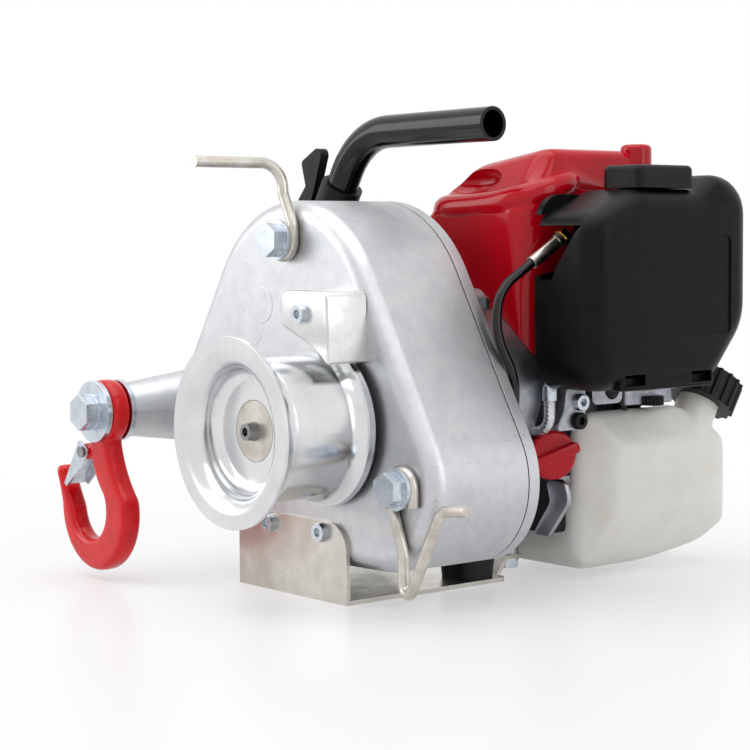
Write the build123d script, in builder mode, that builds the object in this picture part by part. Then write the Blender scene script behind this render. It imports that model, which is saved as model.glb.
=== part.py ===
"""Portable petrol-driven cable puller: gear case, capstan drum, hook, base, handle and engine.

Millimetres. X runs across the drum, from the hook to the air cleaner. Y runs along the drum
axis, from the drum to the engine. Z is up. The origin is on the floor, under the drum axis, in
the plane of the gear case's front face.
"""
import math
import os

from build123d import *

os.makedirs("parts", exist_ok=True)

# Clearances
running_gap = 0.05
hand_gap = 0.3
seat_gap = 0.02

# Gear case: the outline is the hull of four round lobes, given as x, z and radius
drum_axis_z = 95.5
top_lobe = (-39.0, 140.0, 76.0)
right_lobe = (38.0, 66.0, 46.0)
low_lobe = (-58.0, 62.0, 44.0)
hook_lobe = (-112.0, 100.0, 36.0)
case_lobes = (top_lobe, right_lobe, low_lobe, hook_lobe)
case_depth = 66.0
case_wall = 6.0
case_front_wall = 7.0
case_edge_radius = 9.0
gasket_thickness = 0.8
cover_thickness = 7.2
cover_front_y = case_depth + gasket_thickness
cover_rear_y = cover_front_y + cover_thickness

# Reduction gears, from the drum back to the engine: teeth, module, face width
crank_x = 2.0
crank_z = 112.0
drum_gear_teeth = 52
second_pinion_teeth = 12
slow_module = 2.0
second_gear_teeth = 60
first_pinion_teeth = 12
middle_module = 1.5
first_gear_teeth = 62
input_pinion_teeth = 14
fast_module = 1.25
tooth_addendum = 0.85
tooth_dedendum = 1.2
tooth_backlash = 0.22
pressure_angle = math.radians(20)
slow_face = (24.0, 38.0)
middle_face = (42.0, 50.0)
fast_face = (54.0, 60.0)
drum_gear_holes = (33.0, 9.0)
second_gear_holes = (27.0, 8.0)
first_gear_holes = (22.0, 7.0)
pinion_extra = 1.0
first_shaft_angle = math.radians(122)

# Shafts and ball bearings: bore radius, outer radius, width
shaft_end_radius = 6.0
second_shaft_radius = 8.0
drum_gear_seat_radius = 14.5
wheel_hole_count = 6
small_bearing = (6.0, 16.0, 10.0)
drum_front_bearing = (12.5, 26.0, 15.0)
drum_rear_bearing = (6.0, 12.0, 6.0)
input_bearing = (6.0, 14.0, 8.0)
bearing_boss_wall = 5.0
tower_wall = 4.0
spigot_depth = 3.0
drum_seal_radius = 21.0

# Capstan drum
barrel_radius = 38.0
inner_flange_radius = 43.3
inner_flange_y = -4.0
inner_flange_width = 4.0
drum_lip_radius = 50.0
drum_front_y = -66.7
lip_thickness = 2.0
lip_face_width = 7.5
cup_floor_y = -50.0
cup_radius = 33.0
drum_hub_radius = 18.0
drum_bore_radius = 10.0
hub_washer_radius = 16.0
hub_washer_thickness = 3.0
hub_bolt_radius = 3.0
hub_bolt_head_radius = 5.2
hub_bolt_head_height = 6.0
hub_bolt_reach = 16.0
key_width = 6.0
key_height = 5.0
key_length = 24.0

# Rope guides and their bolts
guide_rod_radius = 3.0
guide_loop_radius = 9.0
upper_guide_bolt = (-36.5, 194.5)
lower_guide_bolt = (62.5, 67.2)
upper_guide_rod_z = 236.0
upper_guide_reach = 60.0
guide_bolt_radius = 5.0
guide_bolt_hex = 16.0
guide_bolt_head = 7.0
guide_bolt_flange_radius = 11.0
guide_bolt_flange = 2.0
guide_bolt_length = 30.0
block_depth = 26.0
block_drum_gap = 2.6
block_screw = (10.0, 155.8)

# Hook on its boss
hook_x = -136.0
hook_z = 98.0
boss_front_y = -46.5
boss_front_radius = 14.8
boss_rear_radius = 21.0
boss_rear_y = 24.0
hook_washer_radius = 17.5
hook_washer_thickness = 3.0
hook_thickness = 12.4
hook_eye_radius = 18.0
hook_bolt_radius = 6.0
hook_bolt_hex = 18.0
hook_bolt_head = 8.0
hook_bolt_grip = 34.0
hook_bowl = (0.0, -58.0, 35.0)
hook_throat = (-5.0, -58.0, 18.0)
hook_hang = 8.0
hook_edge_radius = 3.4
hook_corner_radius = 3.0
latch_lug_radius = 5.0
latch_pivot = (-11.5, -26.0)
latch_pin_radius = 2.0
latch_sheet = 1.2
latch_length = 28.0
latch_lean = 25.0

# Base bracket of bent sheet
sheet = 2.5
base_left_x = -82.0
base_right_x = 16.0
base_rear_y = 114.5
flange_height = 43.7
flange_corner_radius = 16.0
base_corner_radius = 5.0
tab_left_x = -16.0
tab_right_x = 7.0
leg_inset = 6.5
tab_rise = 10.2
tab_run = 8.0
tab_flat = 12.0
base_screw_xs = (-52.0, -5.0)
base_screw_z = 37.5
base_screw_radius = 3.0
base_screw_head_radius = 5.5
base_screw_head = 3.6

# Carry handle and throttle lever
handle_radius = 9.5
handle_bore_radius = 7.5
handle_y = cover_rear_y + handle_radius + 0.5
handle_foot = (-124.0, 178.0)
handle_corner = (-76.0, 256.5)
handle_end_x = 38.0
handle_bend_radius = 45.0
handle_bolt_places = (9.0, 25.0)
pad_drop = 1.5
m6_radius = 3.0
m6_across = 10.0
m6_head = 4.5
m6_flange_radius = 6.0
m6_flange = 1.2
bracket_place = 48.0
bracket_width = 18.0
bracket_wall = 3.0
lever_pivot = (-128.0, 209.0)
lever_waist = (-117.0, 226.0)
lever_paddle = ((-122.0, 240.0, 3.0), (-110.0, 245.0, 4.0))
lug_thickness = 5.0
lever_thickness = 6.0
lever_front_y = 77.0
lever_pin_radius = 3.0
lever_hub_radius = 7.0

# Engine
clutch_case_radius = 46.0
clutch_case_bore = 41.5
clutch_case_rear_y = 110.0
clutch_case_wall = 4.0
flange_bolt_circle = 53.0
flange_bolt_turns = (62.0, 150.0, 225.0, 295.0)
flange_ear_radius = 8.5
flange_ear_depth = 7.0
clutch_drum_radius = 39.0
clutch_drum_wall = 3.0
clutch_drum_y = (84.0, 104.0)
crank_radius = 10.0
crank_nose_radius = 6.0
crank_tail_radius = 7.0
crankcase_rear_y = 168.0
crankcase_half_width = 32.0
crankcase_corner = 8.0
crankcase_bottom_z = 58.0
crankcase_top_z = 150.0
leg_radius = 6.0
leg_hole_depth = 12.0
cylinder_y = 140.0
cylinder_core = (42.0, 36.0)
cylinder_fins = (56.0, 48.0)
cylinder_fin_count = 6
cylinder_fin_step = 9.0
cylinder_fin_thickness = 2.5
port_place = (146.0, 162.0)
port_radius = 10.0
port_reach = 34.0
plug_thread_radius = 5.0
plug_reach = 12.0
shroud_wall = 2.2
shroud_front_y = 100.0
shroud_rear_y = 172.0
shroud_left_x = -42.0
shroud_right_x = 46.0
shroud_bottom_z = 110.0
shroud_top_z = 208.0
shroud_corner_radius = 14.0
top_cover_foot = (-42.0, 53.5, 98.0, 206.0)
top_cover_waist = (-38.0, 52.0, 100.0, 204.0)
top_cover_crown = (-16.0, 46.0, 114.0, 198.0)
top_cover_waist_height = 14.0
top_cover_height = 39.0
top_cover_corner = 16.0
top_cover_edge = 5.0
top_knob = (30.0, 202.0)
top_knob_radius = 10.0
fan_radius = 40.0
fan_hub_radius = 22.0
fan_y = (176.0, 196.0)
fan_blade_count = 14
fan_case_radius = 45.0
starter_depth = 36.0
starter_slot_count = 12
grip_way = (-math.sqrt(0.5), 0.0, math.sqrt(0.5))
grip_seat_radius = 8.0
grip_rope_radius = 3.0
grip_stand_off = 6.0
grip_length = 42.0
muffler_inner_x = -48.0
muffler_depth = 44.0
muffler_length = 54.0
muffler_height = 62.0
guard_corner = 14.0
guard_gap = 8.0
guard_margin = 9.0
guard_slot_count = 5
guard_slot_step = 9.0
guard_edge = 5.0

# Carburettor
carburettor_inner_x = crank_x + port_reach
carburettor_y = 156.0
carburettor_length = 30.0
carburettor_top_z = 172.0
bowl_top_z = 128.0
bowl_bottom_z = 101.0
bowl_length = 24.0
intake_radius = 7.0
primer_place = (160.0, 109.0)
primer_radius = 5.5
primer_travel = 3.0
choke_pivot = (46.0, 116.0)
choke_reach = (6.0, -12.0)
choke_pin_radius = 2.0
choke_thickness = 3.0

# Air cleaner
cleaner_base_x = 54.0
cleaner_inner_x = 58.0
cleaner_outer_x = 102.0
cleaner_front_y = 97.0
cleaner_rear_y = 222.0
cleaner_bottom_z = 112.0
cleaner_top_z = 221.0
cleaner_undercut = 28.0
cleaner_corner_radius = 16.0
cleaner_rear_radius = 38.0
cleaner_wall = 2.4
cleaner_edge_radius = 13.0
cleaner_notch = ((90.0, 172.0), (90.0, 207.0), (132.0, 207.0), (120.0, 178.0))
notch_depth = 10.0
filter_length = 62.0
filter_height = 72.0
filter_depth = 22.0
filter_centre = (168.0, 164.0)
latch_left_x = 66.0
latch_right_x = 96.0
cover_latch_y = 160.0
cover_latch_length = 44.0
cover_latch_height = 12.5

# Fuel tank
tank_left_x = -55.0
tank_right_x = 62.0
tank_front_y = 138.0
tank_rear_y = 245.0
tank_bottom_z = 3.0
tank_top_z = 97.0
tank_wall = 2.5
tank_corner_radius = 14.0
tank_edge_radius = 9.0
tank_saddle_half_width = 38.0
tank_saddle_z = 54.0
tank_neck = (49.0, 230.0, 84.0)
tank_neck_radius = 12.5
tank_neck_length = 26.0
tank_neck_tilt = 32.0
fuel_cap_radius = 20.0
fuel_cap_height = 18.0
fuel_cap_skirt = 11.0
fuel_cap_ribs = 18
tank_mount_x = 28.0
tank_mount_width = 22.0
tank_mount_bottom_z = 28.0
tank_mount_thickness = 9.0

# Oil filler on the crankcase
oil_cap_centre = (42.0, 122.0, 74.0)
oil_cap_turn = -20.0
oil_cap_radius = 14.0
oil_cap_flange = 3.5
oil_cap_height = 13.0
oil_boss_radius = 11.0
oil_boss_length = 20.0
oil_plug_radius = 8.0
oil_plug_length = 8.0

# Bracket under the air cleaner
bracket_plate_x = 53.5
bracket_plate_y = 121.5
bracket_plate_z = 100.0
bracket_plate_length = 31.0
bracket_plate_height = 24.0

# Throttle cable
cable_radius = 2.6
cable_sleeve_radius = 3.6
cable_nut_radius = 4.6
cable_sleeve_length = 20.0
cable_nut_length = 8.0
cable_stop_length = 10.0
cable_route = (
    (-138.0, 85.8, 193.0),
    (-138.0, 85.8, 170.0),
    (-143.0, 85.0, 142.0),
    (-143.0, 84.0, 110.0),
    (-134.0, 83.0, 78.0),
    (-114.0, 81.0, 45.0),
    (-86.0, 80.0, 16.0),
    (-62.0, 80.0, 9.0),
    (-36.0, 80.0, 18.0),
    (0.0, 84.0, 44.0),
    (36.0, 84.5, 54.0),
    (57.0, 80.0, 84.0),
    (60.5, 79.0, 120.0),
    (54.8, 70.0, 142.0),
    (50.5, 75.8, 166.6),
    (54.0, 97.2, 181.0),
)


def meet(centre_a, radius_a, centre_b, radius_b):
    """Point where two circles cross, on the left of the way from a to b."""
    span = math.dist(centre_a, centre_b)
    along = (radius_a**2 - radius_b**2 + span**2) / (2 * span)
    across = math.sqrt(radius_a**2 - along**2)
    ux = (centre_b[0] - centre_a[0]) / span
    uz = (centre_b[1] - centre_a[1]) / span
    return (centre_a[0] + along * ux - across * uz, centre_a[1] + along * uz + across * ux)


def heading(start, end):
    """Angle of the line from start to end, in radians."""
    return math.atan2(end[1] - start[1], end[0] - start[0])


def upright(y):
    """Plane parallel to the case face at y. Local x is X, local y is Z, extrusion goes to the front."""
    return Plane(origin=(0, y, 0), x_dir=(1, 0, 0), z_dir=(0, -1, 0))


def drum_way(x, z):
    """Line along the drum direction through x, z."""
    return Axis((x, 0, z), (0, 1, 0))


# Shaft places
drum_axis = (0.0, drum_axis_z)
crank_axis = (crank_x, crank_z)
slow_centres = slow_module * (drum_gear_teeth + second_pinion_teeth) / 2
middle_centres = middle_module * (second_gear_teeth + first_pinion_teeth) / 2
fast_centres = fast_module * (first_gear_teeth + input_pinion_teeth) / 2
first_axis = (
    crank_x + fast_centres * math.cos(first_shaft_angle),
    crank_z + fast_centres * math.sin(first_shaft_angle),
)
second_axis = meet(drum_axis, slow_centres, first_axis, middle_centres)


def gear_points(teeth, module, phase):
    """Corner points of a spur gear, four for each tooth, with one tooth centred at the phase angle."""
    pitch = teeth * module / 2
    half = math.pi * module / 4 - tooth_backlash * module / 2
    corners = (
        (-1, pitch - tooth_dedendum * module, half + math.tan(pressure_angle) * tooth_dedendum * module),
        (-1, pitch + tooth_addendum * module, half - math.tan(pressure_angle) * tooth_addendum * module),
        (1, pitch + tooth_addendum * module, half - math.tan(pressure_angle) * tooth_addendum * module),
        (1, pitch - tooth_dedendum * module, half + math.tan(pressure_angle) * tooth_dedendum * module),
    )
    points = []
    for tooth in range(teeth):
        for side, radius, width in corners:
            angle = phase + 2 * math.pi * tooth / teeth + side * width / pitch
            points.append((radius * math.cos(angle), radius * math.sin(angle)))
    return points


def gear_sketch(axis, y, teeth, module, phase):
    """Toothed outline on the upright plane at y, centred on a shaft axis."""
    centre = Plane(origin=(axis[0], y, axis[1]), x_dir=(1, 0, 0), z_dir=(0, -1, 0))
    with BuildSketch(centre) as outline:
        with BuildLine():
            Polyline(*gear_points(teeth, module, phase), close=True)
        make_face()
    return outline.sketch


def turned_points(axis, points):
    """Solid turned about a shaft axis from (radius, y) corner points."""
    with BuildPart() as turned:
        with BuildSketch(Plane(origin=(axis[0], 0, axis[1]))):
            with BuildLine():
                Polyline(*points, close=True)
            make_face()
        revolve(axis=drum_way(*axis))
    return turned.part


def bar_points(*steps):
    """Corner points of a solid stepped shaft: radius, start y and end y for each step."""
    points = [(0, steps[0][1])]
    for radius, start, end in steps:
        for point in ((radius, start), (radius, end)):
            if point != points[-1]:
                points.append(point)
    points.append((0, steps[-1][2]))
    return points


def facing(x, y, z, outward):
    """Plane through a point, with its normal pointing outward."""
    return Plane(origin=(x, y, z), z_dir=outward)


def hex_bolt(seat, across, head, flange_radius, flange, radius, length):
    """Hex bolt with a flange. Its head stands on the seat plane and its shank goes below it."""
    with BuildPart() as bolt:
        with BuildSketch(seat):
            Circle(flange_radius)
        extrude(amount=flange)
        with BuildSketch(seat.offset(flange)):
            RegularPolygon(across / 2, 6, major_radius=False)
        extrude(amount=head)
        with BuildSketch(seat):
            Circle(radius)
        extrude(amount=-length)
    return bolt.part


def socket_screw(seat, head_radius, head, radius, length):
    """Round-headed socket screw. Its head stands on the seat plane and its shank goes below it."""
    with BuildPart() as screw:
        with BuildSketch(seat):
            Circle(head_radius)
        extrude(amount=head, taper=8)
        with BuildSketch(seat.offset(head * 0.4)):
            RegularPolygon(head_radius * 0.5, 6)
        extrude(amount=head, mode=Mode.SUBTRACT)
        with BuildSketch(seat):
            Circle(radius)
        extrude(amount=-length)
    return screw.part


# Gear case front casting
with BuildSketch() as case_outline:
    for lobe_x, lobe_z, lobe_radius in case_lobes:
        with Locations((lobe_x, lobe_z)):
            Circle(lobe_radius)
    make_hull()

with BuildPart() as gear_housing:
    with BuildSketch(upright(case_depth)):
        add(case_outline.sketch)
    extrude(amount=case_depth)
    fillet(gear_housing.faces().sort_by(Axis.Y)[0].edges(), case_edge_radius)
    with BuildSketch(upright(case_depth)):
        add(case_outline.sketch)
        offset(amount=-case_wall, mode=Mode.REPLACE)
    extrude(amount=case_depth - case_front_wall, mode=Mode.SUBTRACT)
    # Boss that carries the hook bolt
    with BuildSketch(Plane(origin=(hook_x, 0, hook_z))):
        with BuildLine():
            Polyline(
                (0, boss_front_y),
                (boss_front_radius, boss_front_y),
                (boss_rear_radius, 0),
                (boss_rear_radius, boss_rear_y),
                (0, boss_rear_y),
                close=True,
            )
        make_face()
    revolve(axis=drum_way(hook_x, hook_z))
    # Bearing bosses on the inside of the front wall
    with BuildSketch(upright(case_front_wall + drum_front_bearing[2])):
        with Locations(drum_axis):
            Circle(drum_front_bearing[1] + bearing_boss_wall)
    extrude(amount=drum_front_bearing[2])
    with BuildSketch(upright(case_front_wall + small_bearing[2])):
        with Locations(first_axis, second_axis):
            Circle(small_bearing[1] + bearing_boss_wall)
    extrude(amount=small_bearing[2])
    # Bolt bosses behind the rope guide bolts
    with BuildSketch(upright(case_front_wall + guide_bolt_length)):
        with Locations(upper_guide_bolt, lower_guide_bolt):
            Circle(guide_bolt_radius + bearing_boss_wall)
    extrude(amount=guide_bolt_length)
    # Seats and holes
    with BuildSketch(upright(case_front_wall + drum_front_bearing[2])):
        with Locations(drum_axis):
            Circle(drum_front_bearing[1])
    extrude(amount=drum_front_bearing[2], mode=Mode.SUBTRACT)
    with BuildSketch(upright(case_front_wall)):
        with Locations(drum_axis):
            Circle(drum_seal_radius)
    extrude(amount=case_front_wall, mode=Mode.SUBTRACT)
    with BuildSketch(upright(case_front_wall + small_bearing[2])):
        with Locations(first_axis, second_axis):
            Circle(small_bearing[1])
    extrude(amount=small_bearing[2], mode=Mode.SUBTRACT)
    with BuildSketch(upright(guide_bolt_length)):
        with Locations(upper_guide_bolt, lower_guide_bolt):
            Circle(guide_bolt_radius + seat_gap)
    extrude(amount=guide_bolt_length, mode=Mode.SUBTRACT)
    with BuildSketch(upright(case_front_wall)):
        with Locations(block_screw, *[(screw_x, base_screw_z) for screw_x in base_screw_xs]):
            Circle(base_screw_radius + seat_gap)
    extrude(amount=case_front_wall, mode=Mode.SUBTRACT)
    with BuildSketch(upright(boss_front_y + hook_bolt_grip)):
        with Locations((hook_x, hook_z)):
            Circle(hook_bolt_radius + seat_gap)
    extrude(amount=hook_bolt_grip, mode=Mode.SUBTRACT)
gear_housing.part.label = "gear_housing"
export_step(gear_housing.part, "parts/gear_housing.step")

# Gasket between the case halves
with BuildPart() as case_gasket:
    with BuildSketch(upright(cover_front_y)):
        add(case_outline.sketch)
        offset(case_outline.sketch, amount=-case_wall, mode=Mode.SUBTRACT)
    extrude(amount=gasket_thickness)
case_gasket.part.label = "case_gasket"
export_step(case_gasket.part, "parts/case_gasket.step")

# Rear cover, with bearing bosses, the clutch spigot and the ear that carries the handle
handle_slope = heading(handle_foot, handle_corner)


def along_handle(distance, aside=0.0):
    """Point on the handle's leg, measured from its foot, and to the side of it."""
    return (
        handle_foot[0] + distance * math.cos(handle_slope) - aside * math.sin(handle_slope),
        handle_foot[1] + distance * math.sin(handle_slope) + aside * math.cos(handle_slope),
    )


handle_way = (math.cos(handle_slope), 0, math.sin(handle_slope))
handle_foot_plane = Plane(origin=(handle_foot[0], handle_y, handle_foot[1]), z_dir=handle_way)
handle_bolts = [along_handle(place) for place in handle_bolt_places]
flange_bolts = [
    (
        crank_x + flange_bolt_circle * math.cos(math.radians(turn)),
        crank_z + flange_bolt_circle * math.sin(math.radians(turn)),
    )
    for turn in flange_bolt_turns
]
oil_cap_way = (math.cos(math.radians(oil_cap_turn)), math.sin(math.radians(oil_cap_turn)), 0)
oil_cap_plane = Plane(origin=oil_cap_centre, z_dir=oil_cap_way)
neck_way = (0, math.sin(math.radians(tank_neck_tilt)), math.cos(math.radians(tank_neck_tilt)))
neck_plane = Plane(origin=tank_neck, z_dir=neck_way)
grip_radius = fan_case_radius + grip_stand_off
grip_origin = (
    crank_x + grip_way[0] * grip_radius,
    (fan_y[0] + fan_y[1]) / 2,
    crank_z + grip_way[2] * grip_radius,
)
grip_plane = Plane(origin=grip_origin, x_dir=(0, 1, 0), z_dir=grip_way)
input_pinion_room = fast_module * (input_pinion_teeth / 2 + tooth_addendum) + 1.5

with BuildSketch() as pad_outline:
    with Locations(*handle_bolts):
        Circle(handle_radius + 1.5)
    make_hull()

with BuildSketch() as ear_outline:
    with Locations(*handle_bolts):
        Circle(handle_radius + 2.5)
    with Locations((top_lobe[0] - 40, top_lobe[1] + 10)):
        Circle(30)
    make_hull()

drum_rear_seat_y = middle_face[0] + drum_rear_bearing[2]
small_rear_seat_y = cover_rear_y - 1.0
input_boss_y = cover_front_y + 2 * input_bearing[2]

with BuildPart() as rear_cover:
    with BuildSketch(upright(cover_rear_y)):
        add(case_outline.sketch)
        add(ear_outline.sketch)
    extrude(amount=cover_thickness)
    # Grooved pad under the handle's foot
    with BuildSketch(upright(handle_y - pad_drop)):
        add(pad_outline.sketch)
    extrude(amount=handle_y - pad_drop - cover_rear_y)
    with BuildSketch(handle_foot_plane):
        Circle(handle_radius + seat_gap)
    extrude(amount=6 * handle_radius, both=True, mode=Mode.SUBTRACT)
    # Tower for the drum shaft, bosses for the other shafts
    with BuildSketch(upright(cover_front_y)):
        with Locations(drum_axis):
            Circle(drum_rear_bearing[1] + tower_wall)
    extrude(amount=cover_front_y - middle_face[0])
    with BuildSketch(upright(cover_front_y)):
        with Locations(first_axis, second_axis):
            Circle(small_bearing[1] + tower_wall)
    extrude(amount=cover_front_y - (small_rear_seat_y - small_bearing[2]))
    with BuildSketch(upright(input_boss_y)):
        with Locations(crank_axis):
            Circle(input_bearing[1] + bearing_boss_wall)
    extrude(amount=input_boss_y - cover_rear_y)
    with BuildSketch(upright(cover_rear_y + spigot_depth)):
        with Locations(crank_axis):
            Circle(clutch_case_bore - seat_gap)
            Circle(clutch_case_bore - bearing_boss_wall, mode=Mode.SUBTRACT)
    extrude(amount=spigot_depth)
    # Seats and holes
    with BuildSketch(upright(cover_front_y)):
        with Locations(crank_axis):
            Circle(input_pinion_room)
    extrude(amount=cover_front_y - fast_face[0] + 2 * pinion_extra, mode=Mode.SUBTRACT)
    with BuildSketch(upright(drum_rear_seat_y)):
        with Locations(drum_axis):
            Circle(drum_rear_bearing[1])
    extrude(amount=drum_rear_bearing[2], mode=Mode.SUBTRACT)
    with BuildSketch(upright(small_rear_seat_y)):
        with Locations(first_axis, second_axis):
            Circle(small_bearing[1])
    extrude(amount=small_bearing[2], mode=Mode.SUBTRACT)
    with BuildSketch(upright(input_boss_y)):
        with Locations(crank_axis):
            Circle(input_bearing[1])
    extrude(amount=2 * input_bearing[2], mode=Mode.SUBTRACT)
    with BuildSketch(upright(handle_y)):
        with Locations(*handle_bolts, *flange_bolts):
            Circle(m6_radius + seat_gap)
    extrude(amount=handle_y - cover_front_y, mode=Mode.SUBTRACT)
rear_cover.part.label = "rear_cover"
export_step(rear_cover.part, "parts/rear_cover.step")

# Ball bearings in the case halves
bearing_seats = (
    (drum_axis, case_front_wall, drum_front_bearing),
    (drum_axis, drum_rear_seat_y - drum_rear_bearing[2], drum_rear_bearing),
    (first_axis, case_front_wall, small_bearing),
    (first_axis, small_rear_seat_y - small_bearing[2], small_bearing),
    (second_axis, case_front_wall, small_bearing),
    (second_axis, small_rear_seat_y - small_bearing[2], small_bearing),
    (crank_axis, cover_front_y, input_bearing),
    (crank_axis, cover_front_y + input_bearing[2] + seat_gap, input_bearing),
)
with BuildPart() as gear_bearings:
    for seat_axis, seat_y, (bore, outer, width) in bearing_seats:
        race = (outer - bore) * 0.3
        shield = width * 0.12
        add(
            turned_points(
                seat_axis,
                (
                    (bore + running_gap, seat_y),
                    (bore + race, seat_y),
                    (bore + race, seat_y + shield),
                    (outer - race, seat_y + shield),
                    (outer - race, seat_y),
                    (outer - seat_gap, seat_y),
                    (outer - seat_gap, seat_y + width),
                    (outer - race, seat_y + width),
                    (outer - race, seat_y + width - shield),
                    (bore + race, seat_y + width - shield),
                    (bore + race, seat_y + width),
                    (bore + running_gap, seat_y + width),
                ),
            )
        )
gear_bearings.part.label = "gear_bearings"
export_step(gear_bearings.part, "parts/gear_bearings.step")

# Seal of the drum shaft
with BuildPart() as drum_seal:
    add(
        turned_points(
            drum_axis,
            (
                (drum_front_bearing[0] + running_gap, 0),
                (drum_seal_radius - seat_gap, 0),
                (drum_seal_radius - seat_gap, case_front_wall),
                (drum_front_bearing[0] + running_gap, case_front_wall),
            ),
        )
    )
drum_seal.part.label = "drum_seal"
export_step(drum_seal.part, "parts/drum_seal.step")

# Drum
drum_profile_floor = cup_floor_y + hub_washer_thickness
with BuildPart() as drum:
    with BuildSketch(Plane(origin=(0, 0, drum_axis_z))):
        with BuildLine():
            inner_edge = Polyline(
                (drum_bore_radius + seat_gap, drum_profile_floor),
                (drum_bore_radius + seat_gap, inner_flange_y),
                (drum_hub_radius, inner_flange_y),
                (drum_hub_radius, cup_floor_y + 9),
                (barrel_radius - 5, cup_floor_y + 9),
                (barrel_radius - 5, inner_flange_y),
                (inner_flange_radius, inner_flange_y),
                (inner_flange_radius, inner_flange_y - inner_flange_width),
            )
            root = ThreePointArc(
                inner_edge @ 1,
                (barrel_radius + 1.4, inner_flange_y - inner_flange_width - 3.2),
                (barrel_radius, inner_flange_y - inner_flange_width - 9),
            )
            barrel = Line(root @ 1, (barrel_radius, drum_front_y + 17))
            flare = ThreePointArc(
                barrel @ 1,
                (barrel_radius + 3.2, drum_front_y + 6.5),
                (drum_lip_radius, drum_front_y + lip_thickness),
            )
            lip = Polyline(
                flare @ 1,
                (drum_lip_radius, drum_front_y),
                (drum_lip_radius - lip_face_width, drum_front_y),
            )
            mouth = ThreePointArc(
                lip @ 1,
                (cup_radius + 2.6, drum_front_y + 3.6),
                (cup_radius, cup_floor_y - 6),
            )
            corner = ThreePointArc(
                mouth @ 1,
                (cup_radius - 1.9, cup_floor_y - 1.8),
                (cup_radius - 6, cup_floor_y),
            )
            Polyline(
                corner @ 1,
                (hub_washer_radius + hand_gap, cup_floor_y),
                (hub_washer_radius + hand_gap, drum_profile_floor),
                inner_edge @ 0,
            )
        make_face()
    revolve(axis=drum_way(*drum_axis))
    with BuildSketch(upright(inner_flange_y)):
        with Locations((0, drum_axis_z + drum_bore_radius)):
            Rectangle(key_width, key_height)
    extrude(amount=key_length, mode=Mode.SUBTRACT)
drum.part.label = "drum"
export_step(drum.part, "parts/drum.step")

# Drum shaft, key, end washer and bolt
with BuildPart() as drum_shaft:
    add(
        turned_points(
            drum_axis,
            bar_points(
                (drum_bore_radius, drum_profile_floor, inner_flange_y),
                (drum_front_bearing[0], inner_flange_y, slow_face[0]),
                (drum_gear_seat_radius, slow_face[0], slow_face[1]),
                (drum_rear_bearing[0] + 2, slow_face[1], middle_face[0] - hand_gap),
                (drum_rear_bearing[0], middle_face[0] - hand_gap, drum_rear_seat_y),
            ),
        )
    )
    with BuildSketch(upright(inner_flange_y)):
        with Locations((0, drum_axis_z + drum_bore_radius)):
            Rectangle(key_width, key_height)
    extrude(amount=key_length, mode=Mode.SUBTRACT)
    with BuildSketch(upright(drum_profile_floor + hub_bolt_reach)):
        with Locations(drum_axis):
            Circle(hub_bolt_radius + seat_gap)
    extrude(amount=hub_bolt_reach, mode=Mode.SUBTRACT)
drum_shaft.part.label = "drum_shaft"
export_step(drum_shaft.part, "parts/drum_shaft.step")

with BuildPart() as drum_key:
    with BuildSketch(upright(inner_flange_y)):
        with Locations((0, drum_axis_z + drum_bore_radius)):
            Rectangle(key_width - 2 * seat_gap, key_height - 2 * seat_gap)
    extrude(amount=key_length - seat_gap)
drum_key.part.label = "drum_key"
export_step(drum_key.part, "parts/drum_key.step")

with BuildPart() as drum_washer:
    with BuildSketch(upright(drum_profile_floor)):
        with Locations(drum_axis):
            Circle(hub_washer_radius)
            Circle(hub_bolt_radius + seat_gap, mode=Mode.SUBTRACT)
    extrude(amount=hub_washer_thickness)
drum_washer.part.label = "drum_washer"
export_step(drum_washer.part, "parts/drum_washer.step")

with BuildPart() as drum_bolt:
    add(
        socket_screw(
            facing(drum_axis[0], cup_floor_y, drum_axis[1], (0, -1, 0)),
            hub_bolt_head_radius,
            hub_bolt_head_height,
            hub_bolt_radius,
            hub_washer_thickness + hub_bolt_reach,
        )
    )
drum_bolt.part.label = "drum_bolt"
export_step(drum_bolt.part, "parts/drum_bolt.step")

# Gears: each pair is in mesh along the line between its shafts
slow_line = heading(drum_axis, second_axis)
middle_line = heading(second_axis, first_axis)
fast_line = heading(first_axis, crank_axis)


def stepped_shaft(axis, core_radius, face, teeth, module, phase):
    """Shaft between two case bearings, with a pinion cut on it."""
    with BuildPart() as shaft:
        add(
            turned_points(
                axis,
                bar_points(
                    (shaft_end_radius, case_front_wall, shaft_span[0]),
                    (core_radius, shaft_span[0], shaft_span[1]),
                    (shaft_end_radius, shaft_span[1], small_rear_seat_y),
                ),
            )
        )
        extrude(
            gear_sketch(axis, face[1] + pinion_extra, teeth, module, phase),
            amount=face[1] - face[0] + 2 * pinion_extra,
        )
    return shaft.part


def spur_wheel(axis, bore_radius, face, teeth, module, phase, hole_circle, hole_radius):
    """Spur wheel with a bore and lightening holes."""
    with BuildPart() as spur:
        extrude(gear_sketch(axis, face[1], teeth, module, phase), amount=face[1] - face[0])
        with BuildSketch(upright(face[1])):
            with Locations(axis):
                Circle(bore_radius + seat_gap)
                with PolarLocations(hole_circle, wheel_hole_count):
                    Circle(hole_radius)
        extrude(amount=face[1] - face[0], mode=Mode.SUBTRACT)
    return spur.part


shaft_span = (case_front_wall + small_bearing[2] + hand_gap, small_rear_seat_y - small_bearing[2] - hand_gap)

with BuildPart() as drum_gear:
    add(
        spur_wheel(
            drum_axis,
            drum_gear_seat_radius,
            slow_face,
            drum_gear_teeth,
            slow_module,
            slow_line,
            *drum_gear_holes,
        )
    )
drum_gear.part.label = "drum_gear"
export_step(drum_gear.part, "parts/drum_gear.step")

second_pinion_phase = slow_line + math.pi + math.pi / second_pinion_teeth
with BuildPart() as second_shaft:
    add(
        stepped_shaft(
            second_axis, second_shaft_radius, slow_face, second_pinion_teeth, slow_module, second_pinion_phase
        )
    )
second_shaft.part.label = "second_shaft"
export_step(second_shaft.part, "parts/second_shaft.step")

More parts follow.
